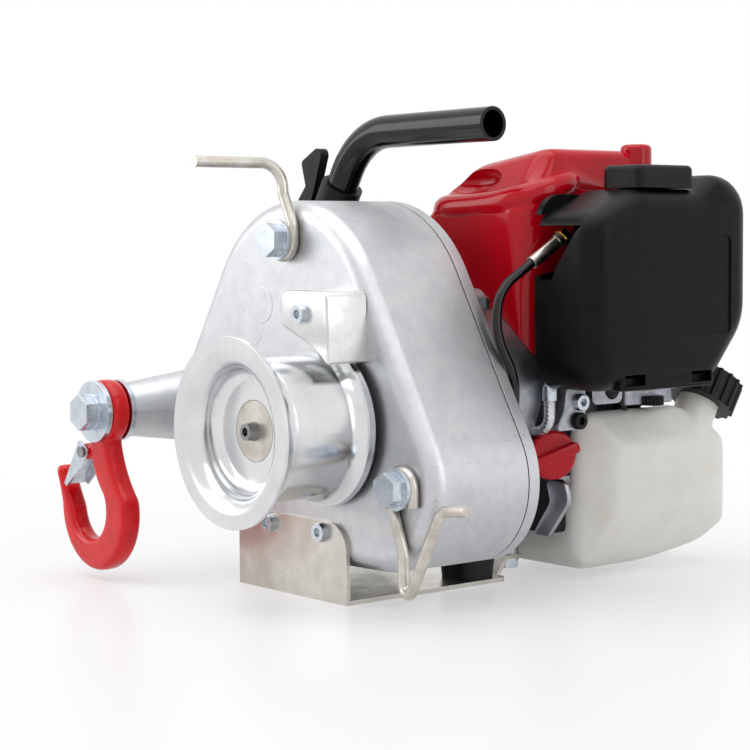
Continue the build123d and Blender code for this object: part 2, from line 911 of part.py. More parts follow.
with BuildPart() as second_gear:
    add(
        spur_wheel(
            second_axis,
            second_shaft_radius,
            middle_face,
            second_gear_teeth,
            middle_module,
            middle_line,
            *second_gear_holes,
        )
    )
second_gear.part.label = "second_gear"
export_step(second_gear.part, "parts/second_gear.step")

first_pinion_phase = middle_line + math.pi + math.pi / first_pinion_teeth
with BuildPart() as first_shaft:
    add(
        stepped_shaft(
            first_axis, shaft_end_radius, middle_face, first_pinion_teeth, middle_module, first_pinion_phase
        )
    )
first_shaft.part.label = "first_shaft"
export_step(first_shaft.part, "parts/first_shaft.step")

with BuildPart() as first_gear:
    add(
        spur_wheel(
            first_axis,
            shaft_end_radius,
            fast_face,
            first_gear_teeth,
            fast_module,
            fast_line,
            *first_gear_holes,
        )
    )
first_gear.part.label = "first_gear"
export_step(first_gear.part, "parts/first_gear.step")

# Input pinion and clutch drum
input_pinion_phase = fast_line + math.pi + math.pi / input_pinion_teeth
with BuildPart() as input_pinion:
    add(
        turned_points(
            crank_axis,
            bar_points((shaft_end_radius, fast_face[0] - pinion_extra, clutch_drum_y[0] + clutch_drum_wall)),
        )
    )
    pinion_end_y = fast_face[1] + pinion_extra
    extrude(
        gear_sketch(crank_axis, pinion_end_y, input_pinion_teeth, fast_module, input_pinion_phase),
        amount=fast_face[1] - fast_face[0] + 2 * pinion_extra,
    )
input_pinion.part.label = "input_pinion"
export_step(input_pinion.part, "parts/input_pinion.step")

with BuildPart() as clutch_drum:
    add(
        turned_points(
            crank_axis,
            (
                (shaft_end_radius + seat_gap, clutch_drum_y[0]),
                (clutch_drum_radius, clutch_drum_y[0]),
                (clutch_drum_radius, clutch_drum_y[1]),
                (clutch_drum_radius - clutch_drum_wall, clutch_drum_y[1]),
                (clutch_drum_radius - clutch_drum_wall, clutch_drum_y[0] + clutch_drum_wall),
                (shaft_end_radius + seat_gap, clutch_drum_y[0] + clutch_drum_wall),
            ),
        )
    )
clutch_drum.part.label = "clutch_drum"
export_step(clutch_drum.part, "parts/clutch_drum.step")

# Rope guides bent from rod
guide_rod_y = -(guide_rod_radius + running_gap)
loop_bend = guide_loop_radius - 0.1


def bent_rod(points, radii, rod_radius):
    """Round rod along straight runs joined by tangent arcs."""
    with BuildPart() as rod:
        with BuildLine() as path:
            FilletPolyline(*points, radius=radii)
        with BuildSketch(Plane(origin=path.line @ 0, z_dir=path.line % 0)):
            Circle(rod_radius)
        sweep(path=path.line)
    length = sum(edge.length for edge in path.edges())
    share = rod.part.volume / (math.pi * rod_radius**2 * length)
    print(f"rod of {length:.1f} mm, volume over section times length {share:.4f}")
    return rod.part


upper_x, upper_z = upper_guide_bolt
upper_rod_route = (
    (upper_x - 1.0, -upper_guide_reach, upper_guide_rod_z),
    (upper_x - 1.0, guide_rod_y, upper_guide_rod_z),
    (upper_x + 0.5, guide_rod_y, upper_z + 25),
    (upper_x + guide_loop_radius, guide_rod_y, upper_z + 8),
    (upper_x + guide_loop_radius, guide_rod_y, upper_z - guide_loop_radius),
    (upper_x - guide_loop_radius, guide_rod_y, upper_z - guide_loop_radius),
    (upper_x - guide_loop_radius, guide_rod_y, upper_z + 5),
)
with BuildPart() as upper_rope_guide:
    add(bent_rod(upper_rod_route, [13, 12, 12, loop_bend, loop_bend], guide_rod_radius))
upper_rope_guide.part.label = "upper_rope_guide"
export_step(upper_rope_guide.part, "parts/upper_rope_guide.step")

lower_x, lower_z = lower_guide_bolt
lower_rod_route = (
    (lower_x + guide_loop_radius, guide_rod_y, lower_z - 9),
    (lower_x + guide_loop_radius, guide_rod_y, lower_z + guide_loop_radius),
    (lower_x - guide_loop_radius, guide_rod_y, lower_z + guide_loop_radius),
    (lower_x - guide_loop_radius, guide_rod_y, lower_z - 6),
    (lower_x + 1.5, guide_rod_y, lower_z - 33),
    (lower_x + 3.0, guide_rod_y - 1.0, 4.0),
    (lower_x + 38.0, guide_rod_y - 6.0, 60.0),
    (lower_x + 57.0, guide_rod_y - 6.0, 62.0),
)
with BuildPart() as lower_rope_guide:
    add(bent_rod(lower_rod_route, [loop_bend, loop_bend, 10, 14, 4.5, 8], guide_rod_radius))
lower_rope_guide.part.label = "lower_rope_guide"
export_step(lower_rope_guide.part, "parts/lower_rope_guide.step")

with BuildPart() as guide_bolts:
    for bolt_x, bolt_z in (upper_guide_bolt, lower_guide_bolt):
        add(
            hex_bolt(
                facing(bolt_x, guide_rod_y - guide_rod_radius - running_gap, bolt_z, (0, -1, 0)),
                guide_bolt_hex, guide_bolt_head, guide_bolt_flange_radius, guide_bolt_flange,
                guide_bolt_radius, guide_bolt_length,
            )
        )
guide_bolts.part.label = "guide_bolts"
export_step(guide_bolts.part, "parts/guide_bolts.step")

# Guide block that leads the rope onto the drum
with BuildPart() as guide_block:
    with BuildSketch(upright(0)):
        with BuildLine():
            Polyline((-9, 168), (31, 168), (33, 126), (24, 134), (24, 137), (-9, 150), close=True)
        make_face()
        with Locations(drum_axis):
            Circle(inner_flange_radius + block_drum_gap, mode=Mode.SUBTRACT)
    extrude(amount=block_depth)
    fillet(guide_block.edges().filter_by(Axis.Y).group_by(Axis.Z)[-1], 4)
    chamfer(guide_block.faces().sort_by(Axis.Y)[0].edges().group_by(Axis.Z)[-1], 1.2)
    with BuildSketch(upright(0)):
        with Locations(block_screw):
            Circle(base_screw_radius + seat_gap)
    extrude(amount=block_depth, mode=Mode.SUBTRACT)
guide_block.part.label = "guide_block"
export_step(guide_block.part, "parts/guide_block.step")
# Hook bolt and washers
washer_rear_y = boss_front_y
eye_rear_y = washer_rear_y - hook_washer_thickness
eye_front_y = eye_rear_y - hook_thickness - 2 * hand_gap
hook_y = (eye_rear_y + eye_front_y) / 2
with BuildPart() as hook_washers:
    for washer_y in (washer_rear_y, eye_front_y):
        with BuildSketch(upright(washer_y)):
            with Locations((hook_x, hook_z)):
                Circle(hook_washer_radius)
                Circle(hook_bolt_radius + seat_gap, mode=Mode.SUBTRACT)
        extrude(amount=hook_washer_thickness)
hook_washers.part.label = "hook_washers"
export_step(hook_washers.part, "parts/hook_washers.step")
with BuildPart() as hook_bolt:
    add(
        hex_bolt(
            facing(hook_x, eye_front_y - hook_washer_thickness, hook_z, (0, -1, 0)),
            hook_bolt_hex, hook_bolt_head, hook_bolt_hex * 0.55, 1.0, hook_bolt_radius,
            boss_front_y + hook_bolt_grip - (eye_front_y - hook_washer_thickness),
        )
    )
hook_bolt.part.label = "hook_bolt"
export_step(hook_bolt.part, "parts/hook_bolt.step")

# Hook, drawn hanging straight and set at the angle where it balances
hang = math.radians(hook_hang)
hook_plane = Plane(
    origin=(hook_x, hook_y, hook_z), x_dir=(math.cos(hang), 0, -math.sin(hang)), z_dir=(0, -1, 0)
)
bowl_x, bowl_z, bowl_radius = hook_bowl
throat_x, throat_z, throat_radius = hook_throat


def on_circle(circle, degrees):
    """Point of a circle given as x, z and radius."""
    x, z, radius = circle
    return (x + radius * math.cos(math.radians(degrees)), z + radius * math.sin(math.radians(degrees)))


with BuildPart() as hook:
    with BuildSketch(hook_plane) as hook_outline:
        with BuildLine():
            back = ThreePointArc((9.0, -10.0), (17.5, -29.0), on_circle(hook_bowl, 22))
            outside = ThreePointArc(back @ 1, on_circle(hook_bowl, -90), on_circle(hook_bowl, 188))
            tip_outer = ThreePointArc(outside @ 1, (-38.5, -54.0), (-44.5, -44.0))
            tip_end = ThreePointArc(tip_outer @ 1, (-41.5, -40.6), (-37.2, -42.0))
            tip_inner = ThreePointArc(tip_end @ 1, (-30.0, -52.5), on_circle(hook_throat, 192))
            inside = ThreePointArc(tip_inner @ 1, on_circle(hook_throat, -75), on_circle(hook_throat, 35))
            neck = ThreePointArc(inside @ 1, (-1.5, -36.0), (-8.0, -20.0))
            Polyline(neck @ 1, (-8.0, -10.0), back @ 0)
        make_face()
        Circle(hook_eye_radius)
        fillet(hook_outline.vertices(), hook_corner_radius)
    extrude(amount=hook_thickness / 2, both=True)
    fillet(hook.faces().filter_by(Axis.Y).edges(), hook_edge_radius)
    with BuildSketch(hook_plane):
        with Locations(latch_pivot):
            Circle(latch_lug_radius)
    extrude(amount=hook_thickness / 2, both=True)
    with BuildSketch(hook_plane):
        Circle(hook_bolt_radius + running_gap)
        with Locations(latch_pivot):
            Circle(latch_pin_radius + seat_gap)
    extrude(amount=hook_thickness, both=True, mode=Mode.SUBTRACT)
hook.part.label = "hook"
export_step(hook.part, "parts/hook.step")

# Spring latch across the hook's throat, and its pin
latch_inside = hook_thickness / 2 + hand_gap
latch_width = latch_inside + latch_sheet
with BuildPart() as latch_pin:
    with BuildSketch(hook_plane):
        with Locations(latch_pivot):
            Circle(latch_pin_radius)
    extrude(amount=latch_width + 1.0, both=True)
    with BuildSketch(hook_plane.offset(latch_width + hand_gap)):
        with Locations(latch_pivot):
            Circle(latch_pin_radius + 1.2)
    extrude(amount=1.2)
    with BuildSketch(hook_plane.offset(-latch_width - hand_gap)):
        with Locations(latch_pivot):
            Circle(latch_pin_radius + 1.2)
    extrude(amount=-1.2)
latch_pin.part.label = "latch_pin"
export_step(latch_pin.part, "parts/latch_pin.step")

latch_plane = Plane(
    origin=hook_plane.from_local_coords((latch_pivot[0], latch_pivot[1], 0)),
    x_dir=hook_plane.x_dir.rotate(Axis.Y, latch_lean),
    z_dir=(0, -1, 0),
)
with BuildPart() as hook_latch:
    with BuildSketch(latch_plane):
        with BuildLine():
            Polyline(
                (-6.5, 4.0), (4.0, 4.0), (4.5, -5.0), (-3.5, -latch_length), (-6.5, -latch_length), close=True
            )
        make_face()
    extrude(amount=latch_width, both=True)
    fillet(hook_latch.edges().filter_by(Axis.Y).group_by(Axis.Z)[-1], 1.5)
    with BuildSketch(latch_plane):
        with BuildLine():
            Polyline(
                (-6.5 + latch_sheet, 12.0), (12.0, 12.0), (12.0, -latch_length - 6),
                (-6.5 + latch_sheet, -latch_length - 6), close=True,
            )
        make_face()
    extrude(amount=latch_inside, both=True, mode=Mode.SUBTRACT)
    with BuildSketch(latch_plane):
        with BuildLine():
            Polyline((-12.0, 12.0), (12.0, 12.0), (12.0, -8.0), (-12.0, -8.0), close=True)
        make_face()
    extrude(amount=latch_inside, both=True, mode=Mode.SUBTRACT)
    with BuildSketch(latch_plane):
        Circle(latch_pin_radius + running_gap)
    extrude(amount=latch_width + 1, both=True, mode=Mode.SUBTRACT)
hook_latch.part.label = "hook_latch"
export_step(hook_latch.part, "parts/hook_latch.step")

# Base bracket: front flange, floor plate and the tab under the engine
with BuildPart() as base_bracket:
    with BuildSketch(Plane.YZ.offset(base_left_x)):
        with BuildLine():
            Polyline(
                (-sheet, 0), (base_rear_y, 0), (base_rear_y, sheet), (0, sheet),
                (0, flange_height), (-sheet, flange_height), close=True,
            )
        make_face()
    extrude(amount=base_right_x - base_left_x)
    top_corners = base_bracket.edges().filter_by(Axis.Y).group_by(Axis.Z)[-1]
    fillet(top_corners, flange_corner_radius)
    rear_corners = base_bracket.edges().filter_by(Axis.Z).group_by(Axis.Y)[-1]
    fillet(rear_corners, base_corner_radius)
    with BuildSketch(Plane.YZ.offset(tab_left_x)):
        with BuildLine():
            tab_line = Polyline(
                (base_rear_y - sheet, sheet / 2),
                (base_rear_y, sheet / 2),
                (base_rear_y + tab_run, sheet / 2 + tab_rise),
                (base_rear_y + tab_run + tab_flat, sheet / 2 + tab_rise),
            )
        trace(tab_line, line_width=sheet)
    extrude(amount=tab_right_x - tab_left_x)
    with BuildSketch(upright(0)):
        with Locations(*[(screw_x, base_screw_z) for screw_x in base_screw_xs]):
            Circle(base_screw_radius + seat_gap)
    extrude(amount=sheet, mode=Mode.SUBTRACT)
    leg_x = tab_right_x - leg_inset
    leg_y = base_rear_y + tab_run + tab_flat * 0.58
    with BuildSketch(Plane.XY):
        with Locations((leg_x, leg_y)):
            Circle(base_screw_radius + seat_gap)
    extrude(amount=flange_height, mode=Mode.SUBTRACT)
base_bracket.part.label = "base_bracket"
export_step(base_bracket.part, "parts/base_bracket.step")

with BuildPart() as front_screws:
    for screw_x in base_screw_xs:
        add(
            socket_screw(
                facing(screw_x, -sheet, base_screw_z, (0, -1, 0)),
                base_screw_head_radius, base_screw_head, base_screw_radius, sheet + case_front_wall - 1,
            )
        )
    add(
        socket_screw(
            facing(block_screw[0], -block_depth, block_screw[1], (0, -1, 0)),
            base_screw_head_radius, base_screw_head, base_screw_radius, block_depth + case_front_wall - 1,
        )
    )
front_screws.part.label = "front_screws"
export_step(front_screws.part, "parts/front_screws.step")

tab_top_z = sheet + tab_rise

# Rubber buffer between the floor plate and the rear cover
buffer_top_z = 20.0
with BuildPart() as base_buffer:
    with BuildSketch(Plane.XY.offset(sheet)):
        with Locations((2, 96)):
            RectangleRounded(26, 24, 8)
    extrude(amount=buffer_top_z - sheet, taper=-6)
base_buffer.part.label = "base_buffer"
export_step(base_buffer.part, "parts/base_buffer.step")

# Carry handle: one bend, fixed through its foot by two bolts
with BuildPart() as handle_tube:
    with BuildLine() as handle_line:
        FilletPolyline(
            (handle_foot[0], handle_y, handle_foot[1]),
            (handle_corner[0], handle_y, handle_corner[1]),
            (handle_end_x, handle_y, handle_corner[1]),
            radius=handle_bend_radius,
        )
    with BuildSketch(handle_foot_plane):
        Circle(handle_radius)
        Circle(handle_bore_radius, mode=Mode.SUBTRACT)
    sweep(path=handle_line.line)
    with BuildSketch(upright(handle_y + handle_radius)):
        with Locations(*handle_bolts):
            Circle(m6_radius + seat_gap)
    extrude(amount=2 * handle_radius, mode=Mode.SUBTRACT)
handle_tube.part.label = "handle_tube"
export_step(handle_tube.part, "parts/handle_tube.step")

# M6 bolts: handle foot, engine flange, and the engine's front leg
m6_sizes = (m6_across, m6_head, m6_flange_radius, m6_flange, m6_radius)
with BuildPart() as case_bolts:
    for bolt_x, bolt_z in handle_bolts:
        seat = facing(bolt_x, handle_y + handle_radius, bolt_z, (0, 1, 0))
        add(hex_bolt(seat, *m6_sizes, handle_radius + handle_y - cover_front_y))
    for bolt_x, bolt_z in flange_bolts:
        seat = facing(bolt_x, cover_rear_y + flange_ear_depth, bolt_z, (0, 1, 0))
        add(hex_bolt(seat, *m6_sizes, flange_ear_depth + cover_thickness))
    add(hex_bolt(facing(leg_x, leg_y, tab_rise, (0, 0, -1)), *m6_sizes, sheet + leg_hole_depth))
case_bolts.part.label = "case_bolts"
export_step(case_bolts.part, "parts/case_bolts.step")

# Throttle bracket: a collar on the handle with a lug for the lever's pin and the end of the cable
bracket_centre = along_handle(bracket_place)
bracket_plane = Plane(origin=(bracket_centre[0], handle_y, bracket_centre[1]), z_dir=handle_way)
lug_front_y = lever_front_y + lever_thickness + hand_gap
cable_stop = cable_route[0]
with BuildPart() as throttle_bracket:
    with BuildSketch(bracket_plane):
        Circle(handle_radius + bracket_wall)
    extrude(amount=bracket_width / 2, both=True)
    with BuildSketch(upright(lug_front_y + lug_thickness)):
        with Locations(lever_pivot, bracket_centre):
            Circle(lever_hub_radius)
        make_hull()
    extrude(amount=lug_thickness)
    with BuildSketch(upright(lug_front_y + lug_thickness)):
        with Locations(lever_pivot, (cable_stop[0], cable_stop[2] + lever_hub_radius)):
            Circle(lever_hub_radius)
        make_hull()
    extrude(amount=lug_thickness)
    with BuildSketch(Plane.XY.offset(cable_stop[2])):
        with Locations((cable_stop[0], cable_stop[1])):
            Circle(cable_radius + 1)
    extrude(amount=cable_stop_length)
    with BuildSketch(bracket_plane):
        Circle(handle_radius + seat_gap)
    extrude(amount=4 * handle_radius, both=True, mode=Mode.SUBTRACT)
    with BuildSketch(upright(lug_front_y)):
        with Locations(lever_pivot):
            Circle(lever_pin_radius)
    extrude(amount=lever_thickness + 2 * hand_gap)
    with BuildSketch(upright(lever_front_y - hand_gap)):
        with Locations(lever_pivot):
            Circle(lever_pin_radius + 2)
    extrude(amount=1.5)
throttle_bracket.part.label = "throttle_bracket"
export_step(throttle_bracket.part, "parts/throttle_bracket.step")

with BuildPart() as throttle_lever:
    with BuildSketch(upright(lever_front_y + lever_thickness)):
        with Locations(lever_pivot):
            Circle(lever_hub_radius)
        with Locations(lever_waist):
            Circle(4)
        make_hull()
    extrude(amount=lever_thickness)
    with BuildSketch(upright(lever_front_y + lever_thickness)):
        for paddle_x, paddle_z, paddle_radius in lever_paddle:
            with Locations((paddle_x, paddle_z)):
                Circle(paddle_radius)
        with Locations(lever_waist):
            Circle(4)
        make_hull()
    extrude(amount=lever_thickness)
    with BuildSketch(upright(lever_front_y + lever_thickness)):
        with Locations(lever_pivot):
            Circle(lever_pin_radius + running_gap)
    extrude(amount=lever_thickness, mode=Mode.SUBTRACT)
throttle_lever.part.label = "throttle_lever"
export_step(throttle_lever.part, "parts/throttle_lever.step")


# Throttle cable, held from the lever's bracket to its adjuster at the air cleaner
def cable_bends(route):
    """Largest radius that each corner of the route has room for."""
    points = [Vector(*point) for point in route]
    radii = []
    for before, corner, after in zip(points, points[1:], points[2:]):
        turn = math.radians((corner - before).get_angle(after - corner))
        shorter = min((corner - before).length, (after - corner).length)
        radii.append(0.45 * shorter / math.tan(turn / 2))
    return radii


cable_radii = cable_bends(cable_route)
print("cable bend radii:", [round(radius) for radius in cable_radii])
with BuildPart() as throttle_cable:
    add(bent_rod(cable_route, cable_radii, cable_radius))
throttle_cable.part.label = "throttle_cable"
export_step(throttle_cable.part, "parts/throttle_cable.step")

cable_end = Vector(*cable_route[-1])
cable_way = (cable_end - Vector(*cable_route[-2])).normalized()
sleeve_plane = Plane(origin=cable_end, z_dir=cable_way)
with BuildPart() as cable_adjuster:
    with BuildSketch(sleeve_plane):
        Circle(cable_sleeve_radius)
    extrude(amount=cable_sleeve_length)
    with BuildSketch(sleeve_plane.offset(cable_sleeve_length)):
        RegularPolygon(cable_nut_radius, 6)
    extrude(amount=cable_nut_length)
cable_adjuster.part.label = "cable_adjuster"
export_step(cable_adjuster.part, "parts/cable_adjuster.step")

# Crankcase: clutch bell in front, block behind it, leg down to the base's tab
with BuildPart() as crankcase:
    add(
        turned_points(
            crank_axis,
            (
                (clutch_case_bore, cover_rear_y),
                (clutch_case_radius, cover_rear_y),
                (clutch_case_radius, clutch_case_rear_y),
                (crank_radius + running_gap, clutch_case_rear_y),
                (crank_radius + running_gap, clutch_case_rear_y - clutch_case_wall),
                (clutch_case_bore, clutch_case_rear_y - clutch_case_wall),
            ),
        )
    )
    with BuildSketch(upright(cover_rear_y + flange_ear_depth)):
        with Locations(*flange_bolts):
            Circle(flange_ear_radius)
        with Locations(crank_axis):
            Circle(clutch_case_bore + 1, mode=Mode.SUBTRACT)
    extrude(amount=flange_ear_depth)
    with BuildSketch(upright(crankcase_rear_y)):
        with Locations((crank_x, (crankcase_top_z + crankcase_bottom_z) / 2)):
            RectangleRounded(
                2 * crankcase_half_width, crankcase_top_z - crankcase_bottom_z, crankcase_corner
            )
    extrude(amount=crankcase_rear_y - clutch_case_rear_y)
    with BuildSketch(Plane.XY.offset(tab_top_z)):
        with Locations((leg_x, leg_y)):
            Circle(leg_radius)
    extrude(amount=crankcase_bottom_z - tab_top_z + 4)
    with BuildSketch(oil_cap_plane):
        Circle(oil_boss_radius)
    extrude(amount=-oil_boss_length)
    # Holes
    with BuildSketch(upright(crankcase_rear_y)):
        with Locations(crank_axis):
            Circle(crank_radius + running_gap)
    extrude(amount=crankcase_rear_y - clutch_case_rear_y + clutch_case_wall, mode=Mode.SUBTRACT)
    with BuildSketch(upright(cover_rear_y + flange_ear_depth)):
        with Locations(*flange_bolts):
            Circle(m6_radius + seat_gap)
    extrude(amount=flange_ear_depth, mode=Mode.SUBTRACT)
    with BuildSketch(Plane.XY.offset(tab_top_z)):
        with Locations((leg_x, leg_y)):
            Circle(m6_radius + seat_gap)
    extrude(amount=leg_hole_depth, mode=Mode.SUBTRACT)
    with BuildSketch(oil_cap_plane):
        Circle(oil_plug_radius + running_gap)
    extrude(amount=-oil_plug_length - hand_gap, mode=Mode.SUBTRACT)
crankcase.part.label = "crankcase"
export_step(crankcase.part, "parts/crankcase.step")

# Oil cap with a grip ridge
with BuildPart() as oil_cap:
    with BuildSketch(oil_cap_plane.offset(hand_gap)):
        Circle(oil_cap_radius)
    extrude(amount=oil_cap_flange)
    with BuildSketch(oil_cap_plane.offset(hand_gap + oil_cap_flange)):
        Circle(oil_cap_radius - 2)
    extrude(amount=oil_cap_flange)
    with BuildSketch(oil_cap_plane.offset(hand_gap + 2 * oil_cap_flange)):
        SlotOverall(2 * oil_cap_radius - 5, 6, rotation=45)
    extrude(amount=oil_cap_height - 2 * oil_cap_flange)
    with BuildSketch(oil_cap_plane.offset(hand_gap)):
        Circle(oil_plug_radius)
    extrude(amount=-oil_plug_length - hand_gap)
oil_cap.part.label = "oil_cap"
export_step(oil_cap.part, "parts/oil_cap.step")

# Crankshaft, clutch shoes and flywheel
with BuildPart() as crankshaft:
    add(
        turned_points(
            crank_axis,
            bar_points(
                (crank_nose_radius, clutch_drum_y[0] + clutch_drum_wall + 1.5, clutch_case_rear_y - 6),
                (crank_radius, clutch_case_rear_y - 6, crankcase_rear_y + 3),
                (crank_tail_radius, crankcase_rear_y + 3, fan_y[1]),
            ),
        )
    )
crankshaft.part.label = "crankshaft"
export_step(crankshaft.part, "parts/crankshaft.step")

shoe_radius = clutch_drum_radius - clutch_drum_wall - 2
shoe_front_y = clutch_drum_y[0] + clutch_drum_wall + 2
shoe_rear_y = clutch_drum_y[1] - 5
with BuildPart() as clutch_shoes:
    with BuildSketch(upright(shoe_rear_y + 3)):
        with Locations(crank_axis):
            Circle(shoe_radius - 6)
            Circle(crank_nose_radius + seat_gap, mode=Mode.SUBTRACT)
    extrude(amount=3)
    for side in (-1, 1):
        with BuildSketch(upright(shoe_rear_y)):
            with Locations(crank_axis):
                Circle(shoe_radius)
                Circle(shoe_radius - 14, mode=Mode.SUBTRACT)
            with Locations((crank_x - side * shoe_radius, crank_z)):
                Rectangle(2 * shoe_radius + 6, 2 * shoe_radius + 6, mode=Mode.SUBTRACT)
        extrude(amount=shoe_rear_y - shoe_front_y)
clutch_shoes.part.label = "clutch_shoes"
export_step(clutch_shoes.part, "parts/clutch_shoes.step")

with BuildPart() as flywheel:
    add(
        turned_points(
            crank_axis,
            (
                (crank_tail_radius + seat_gap, fan_y[0]),
                (fan_radius, fan_y[0]),
                (fan_radius, fan_y[0] + 4),
                (fan_hub_radius, fan_y[0] + 7),
                (fan_hub_radius, fan_y[1]),
                (crank_tail_radius + seat_gap, fan_y[1]),
            ),
        )
    )
    with BuildSketch(upright(fan_y[1] - 2)):
        with Locations(crank_axis):
            with PolarLocations(0, fan_blade_count):
                with Locations((fan_radius - 9, 0)):
                    Rectangle(15, 2, rotation=25)
    extrude(amount=fan_y[1] - fan_y[0] - 5)
flywheel.part.label = "flywheel"
export_step(flywheel.part, "parts/flywheel.step")

# Finned cylinder and spark plug
cylinder_top_z = crankcase_top_z + cylinder_fin_count * cylinder_fin_step + 6
with BuildPart() as cylinder:
    with BuildSketch(Plane.XY.offset(crankcase_top_z)):
        with Locations((crank_x, cylinder_y)):
            RectangleRounded(*cylinder_core, 12)
    extrude(amount=cylinder_top_z - crankcase_top_z)
    for fin in range(cylinder_fin_count):
        with BuildSketch(Plane.XY.offset(crankcase_top_z + 6 + fin * cylinder_fin_step)):
            with Locations((crank_x, cylinder_y)):
                RectangleRounded(*cylinder_fins, 8)
        extrude(amount=cylinder_fin_thickness)
    with BuildSketch(Plane.YZ.offset(crank_x)):
        with Locations(port_place):
            Circle(port_radius)
    extrude(amount=port_reach, both=True)
    with BuildSketch(Plane.XY.offset(cylinder_top_z)):
        with Locations((crank_x, cylinder_y)):
            Circle(plug_thread_radius + seat_gap)
    extrude(amount=-plug_reach, mode=Mode.SUBTRACT)
cylinder.part.label = "cylinder"
export_step(cylinder.part, "parts/cylinder.step")

with BuildPart() as spark_plug:
    with BuildSketch(Plane.XY.offset(cylinder_top_z)):
        with Locations((crank_x, cylinder_y)):
            Circle(plug_thread_radius)
    extrude(amount=-plug_reach)
    with BuildSketch(Plane.XY.offset(cylinder_top_z)):
        with Locations((crank_x, cylinder_y)):
            RegularPolygon(8, 6, major_radius=False)
    extrude(amount=7)
    with BuildSketch(Plane.XY.offset(cylinder_top_z + 7)):
        with Locations((crank_x, cylinder_y)):
            Circle(6)
    extrude(amount=12, taper=8)
spark_plug.part.label = "spark_plug"
export_step(spark_plug.part, "parts/spark_plug.step")

# Engine shroud, open below, behind and on top
shroud_centre = ((shroud_left_x + shroud_right_x) / 2, (shroud_front_y + shroud_rear_y) / 2)
shroud_size = (shroud_right_x - shroud_left_x, shroud_rear_y - shroud_front_y)
with BuildPart() as lower_shroud:
    with BuildSketch(Plane.XY.offset(shroud_bottom_z)):
        with Locations(shroud_centre):
            RectangleRounded(*shroud_size, shroud_corner_radius)
        with Locations(shroud_centre):
            RectangleRounded(
                shroud_size[0] - 2 * shroud_wall, shroud_size[1] - 2 * shroud_wall,
                shroud_corner_radius - shroud_wall, mode=Mode.SUBTRACT,
            )
    extrude(amount=shroud_top_z - shroud_bottom_z)
    with BuildSketch(upright(shroud_centre[1])):
        with Locations(crank_axis):
            Circle(clutch_case_radius + hand_gap)
    extrude(amount=shroud_size[1], mode=Mode.SUBTRACT)
    with BuildSketch(upright(shroud_rear_y)):
        with Locations(crank_axis):
            Circle(fan_case_radius - 2 * grip_stand_off)
    extrude(amount=2 * shroud_wall, mode=Mode.SUBTRACT)
    with BuildSketch(Plane.YZ.offset(shroud_left_x)):
        with Locations(port_place):
            Circle(port_radius + hand_gap)
    extrude(amount=2 * shroud_wall, mode=Mode.SUBTRACT)
    with BuildSketch(Plane.YZ.offset(shroud_right_x)):
        with Locations((carburettor_y + grip_stand_off, shroud_bottom_z)):
            Rectangle(
                carburettor_length + 2 * grip_stand_off + 4, 2 * (carburettor_top_z - shroud_bottom_z + 3)
            )
    extrude(amount=-shroud_corner_radius, mode=Mode.SUBTRACT)
lower_shroud.part.label = "lower_shroud"
export_step(lower_shroud.part, "parts/lower_shroud.step")


def cover_hull(inset, rise):
    """Tapered block with rounded corners, for the outside and the inside of the top cover."""
    with BuildPart() as block:
        for (left, right, front, rear), z in (
            (top_cover_foot, shroud_top_z),
            (top_cover_waist, shroud_top_z + top_cover_waist_height),
            (top_cover_crown, shroud_top_z + top_cover_height - rise),
        ):
            with BuildSketch(Plane.XY.offset(z)):
                with Locations(((left + right) / 2, (front + rear) / 2)):
                    RectangleRounded(
                        right - left - 2 * inset, rear - front - 2 * inset, top_cover_corner - inset
                    )
        loft(ruled=True)
    return block.part


with BuildPart() as top_cover:
    add(cover_hull(0, 0))
    fillet(top_cover.faces().sort_by(Axis.Z)[-1].edges(), top_cover_edge)
    with BuildSketch(Plane.XY.offset(shroud_top_z)):
        with Locations(top_knob):
            Circle(top_knob_radius)
    extrude(amount=top_cover_height + 2)
    add(cover_hull(shroud_wall, shroud_wall), mode=Mode.SUBTRACT)
top_cover.part.label = "top_cover"
export_step(top_cover.part, "parts/top_cover.step")

# Starter case: fan scroll and recoil housing behind the shroud, with air slots
starter_rear_y = shroud_rear_y + starter_depth
with BuildPart() as starter_case:
    add(
        turned_points(
            crank_axis,
            (
                (fan_case_radius - shroud_wall, shroud_rear_y),
                (fan_case_radius, shroud_rear_y),
                (fan_case_radius, starter_rear_y - 14),
                (fan_case_radius - 12, starter_rear_y),
                (0, starter_rear_y),
                (0, starter_rear_y - 3),
                (fan_case_radius - 13, starter_rear_y - 3),
                (fan_case_radius - shroud_wall, starter_rear_y - 15),
            ),
        )
    )
    with BuildSketch(upright(starter_rear_y)):
        with Locations(crank_axis):
            with PolarLocations(0, starter_slot_count, start_angle=15):
                with Locations((fan_case_radius * 0.5, 0)):
                    SlotOverall(fan_case_radius * 0.4, 5)
    extrude(amount=3, mode=Mode.SUBTRACT)
    with BuildSketch(grip_plane.offset(-4)):
        Circle(grip_seat_radius)
    extrude(amount=4 - grip_stand_off - shroud_wall + 0.2)
    with BuildSketch(grip_plane):
        Circle(grip_rope_radius)
    extrude(amount=-20, mode=Mode.SUBTRACT)
starter_case.part.label = "starter_case"
export_step(starter_case.part, "parts/starter_case.step")

with BuildPart() as starter_grip:
    with BuildSketch(grip_plane.offset(-4 + hand_gap)):
        Circle(grip_seat_radius - 1)
    extrude(amount=8)
    with BuildSketch(grip_plane.offset(4)):
        SlotOverall(grip_length, 13, rotation=90)
    extrude(amount=12)
    grip_top = starter_grip.faces().filter_by(GeomType.PLANE).sort_by(Axis(grip_origin, grip_way))[-1]
    fillet(grip_top.edges(), 4)
starter_grip.part.label = "starter_grip"
export_step(starter_grip.part, "parts/starter_grip.step")

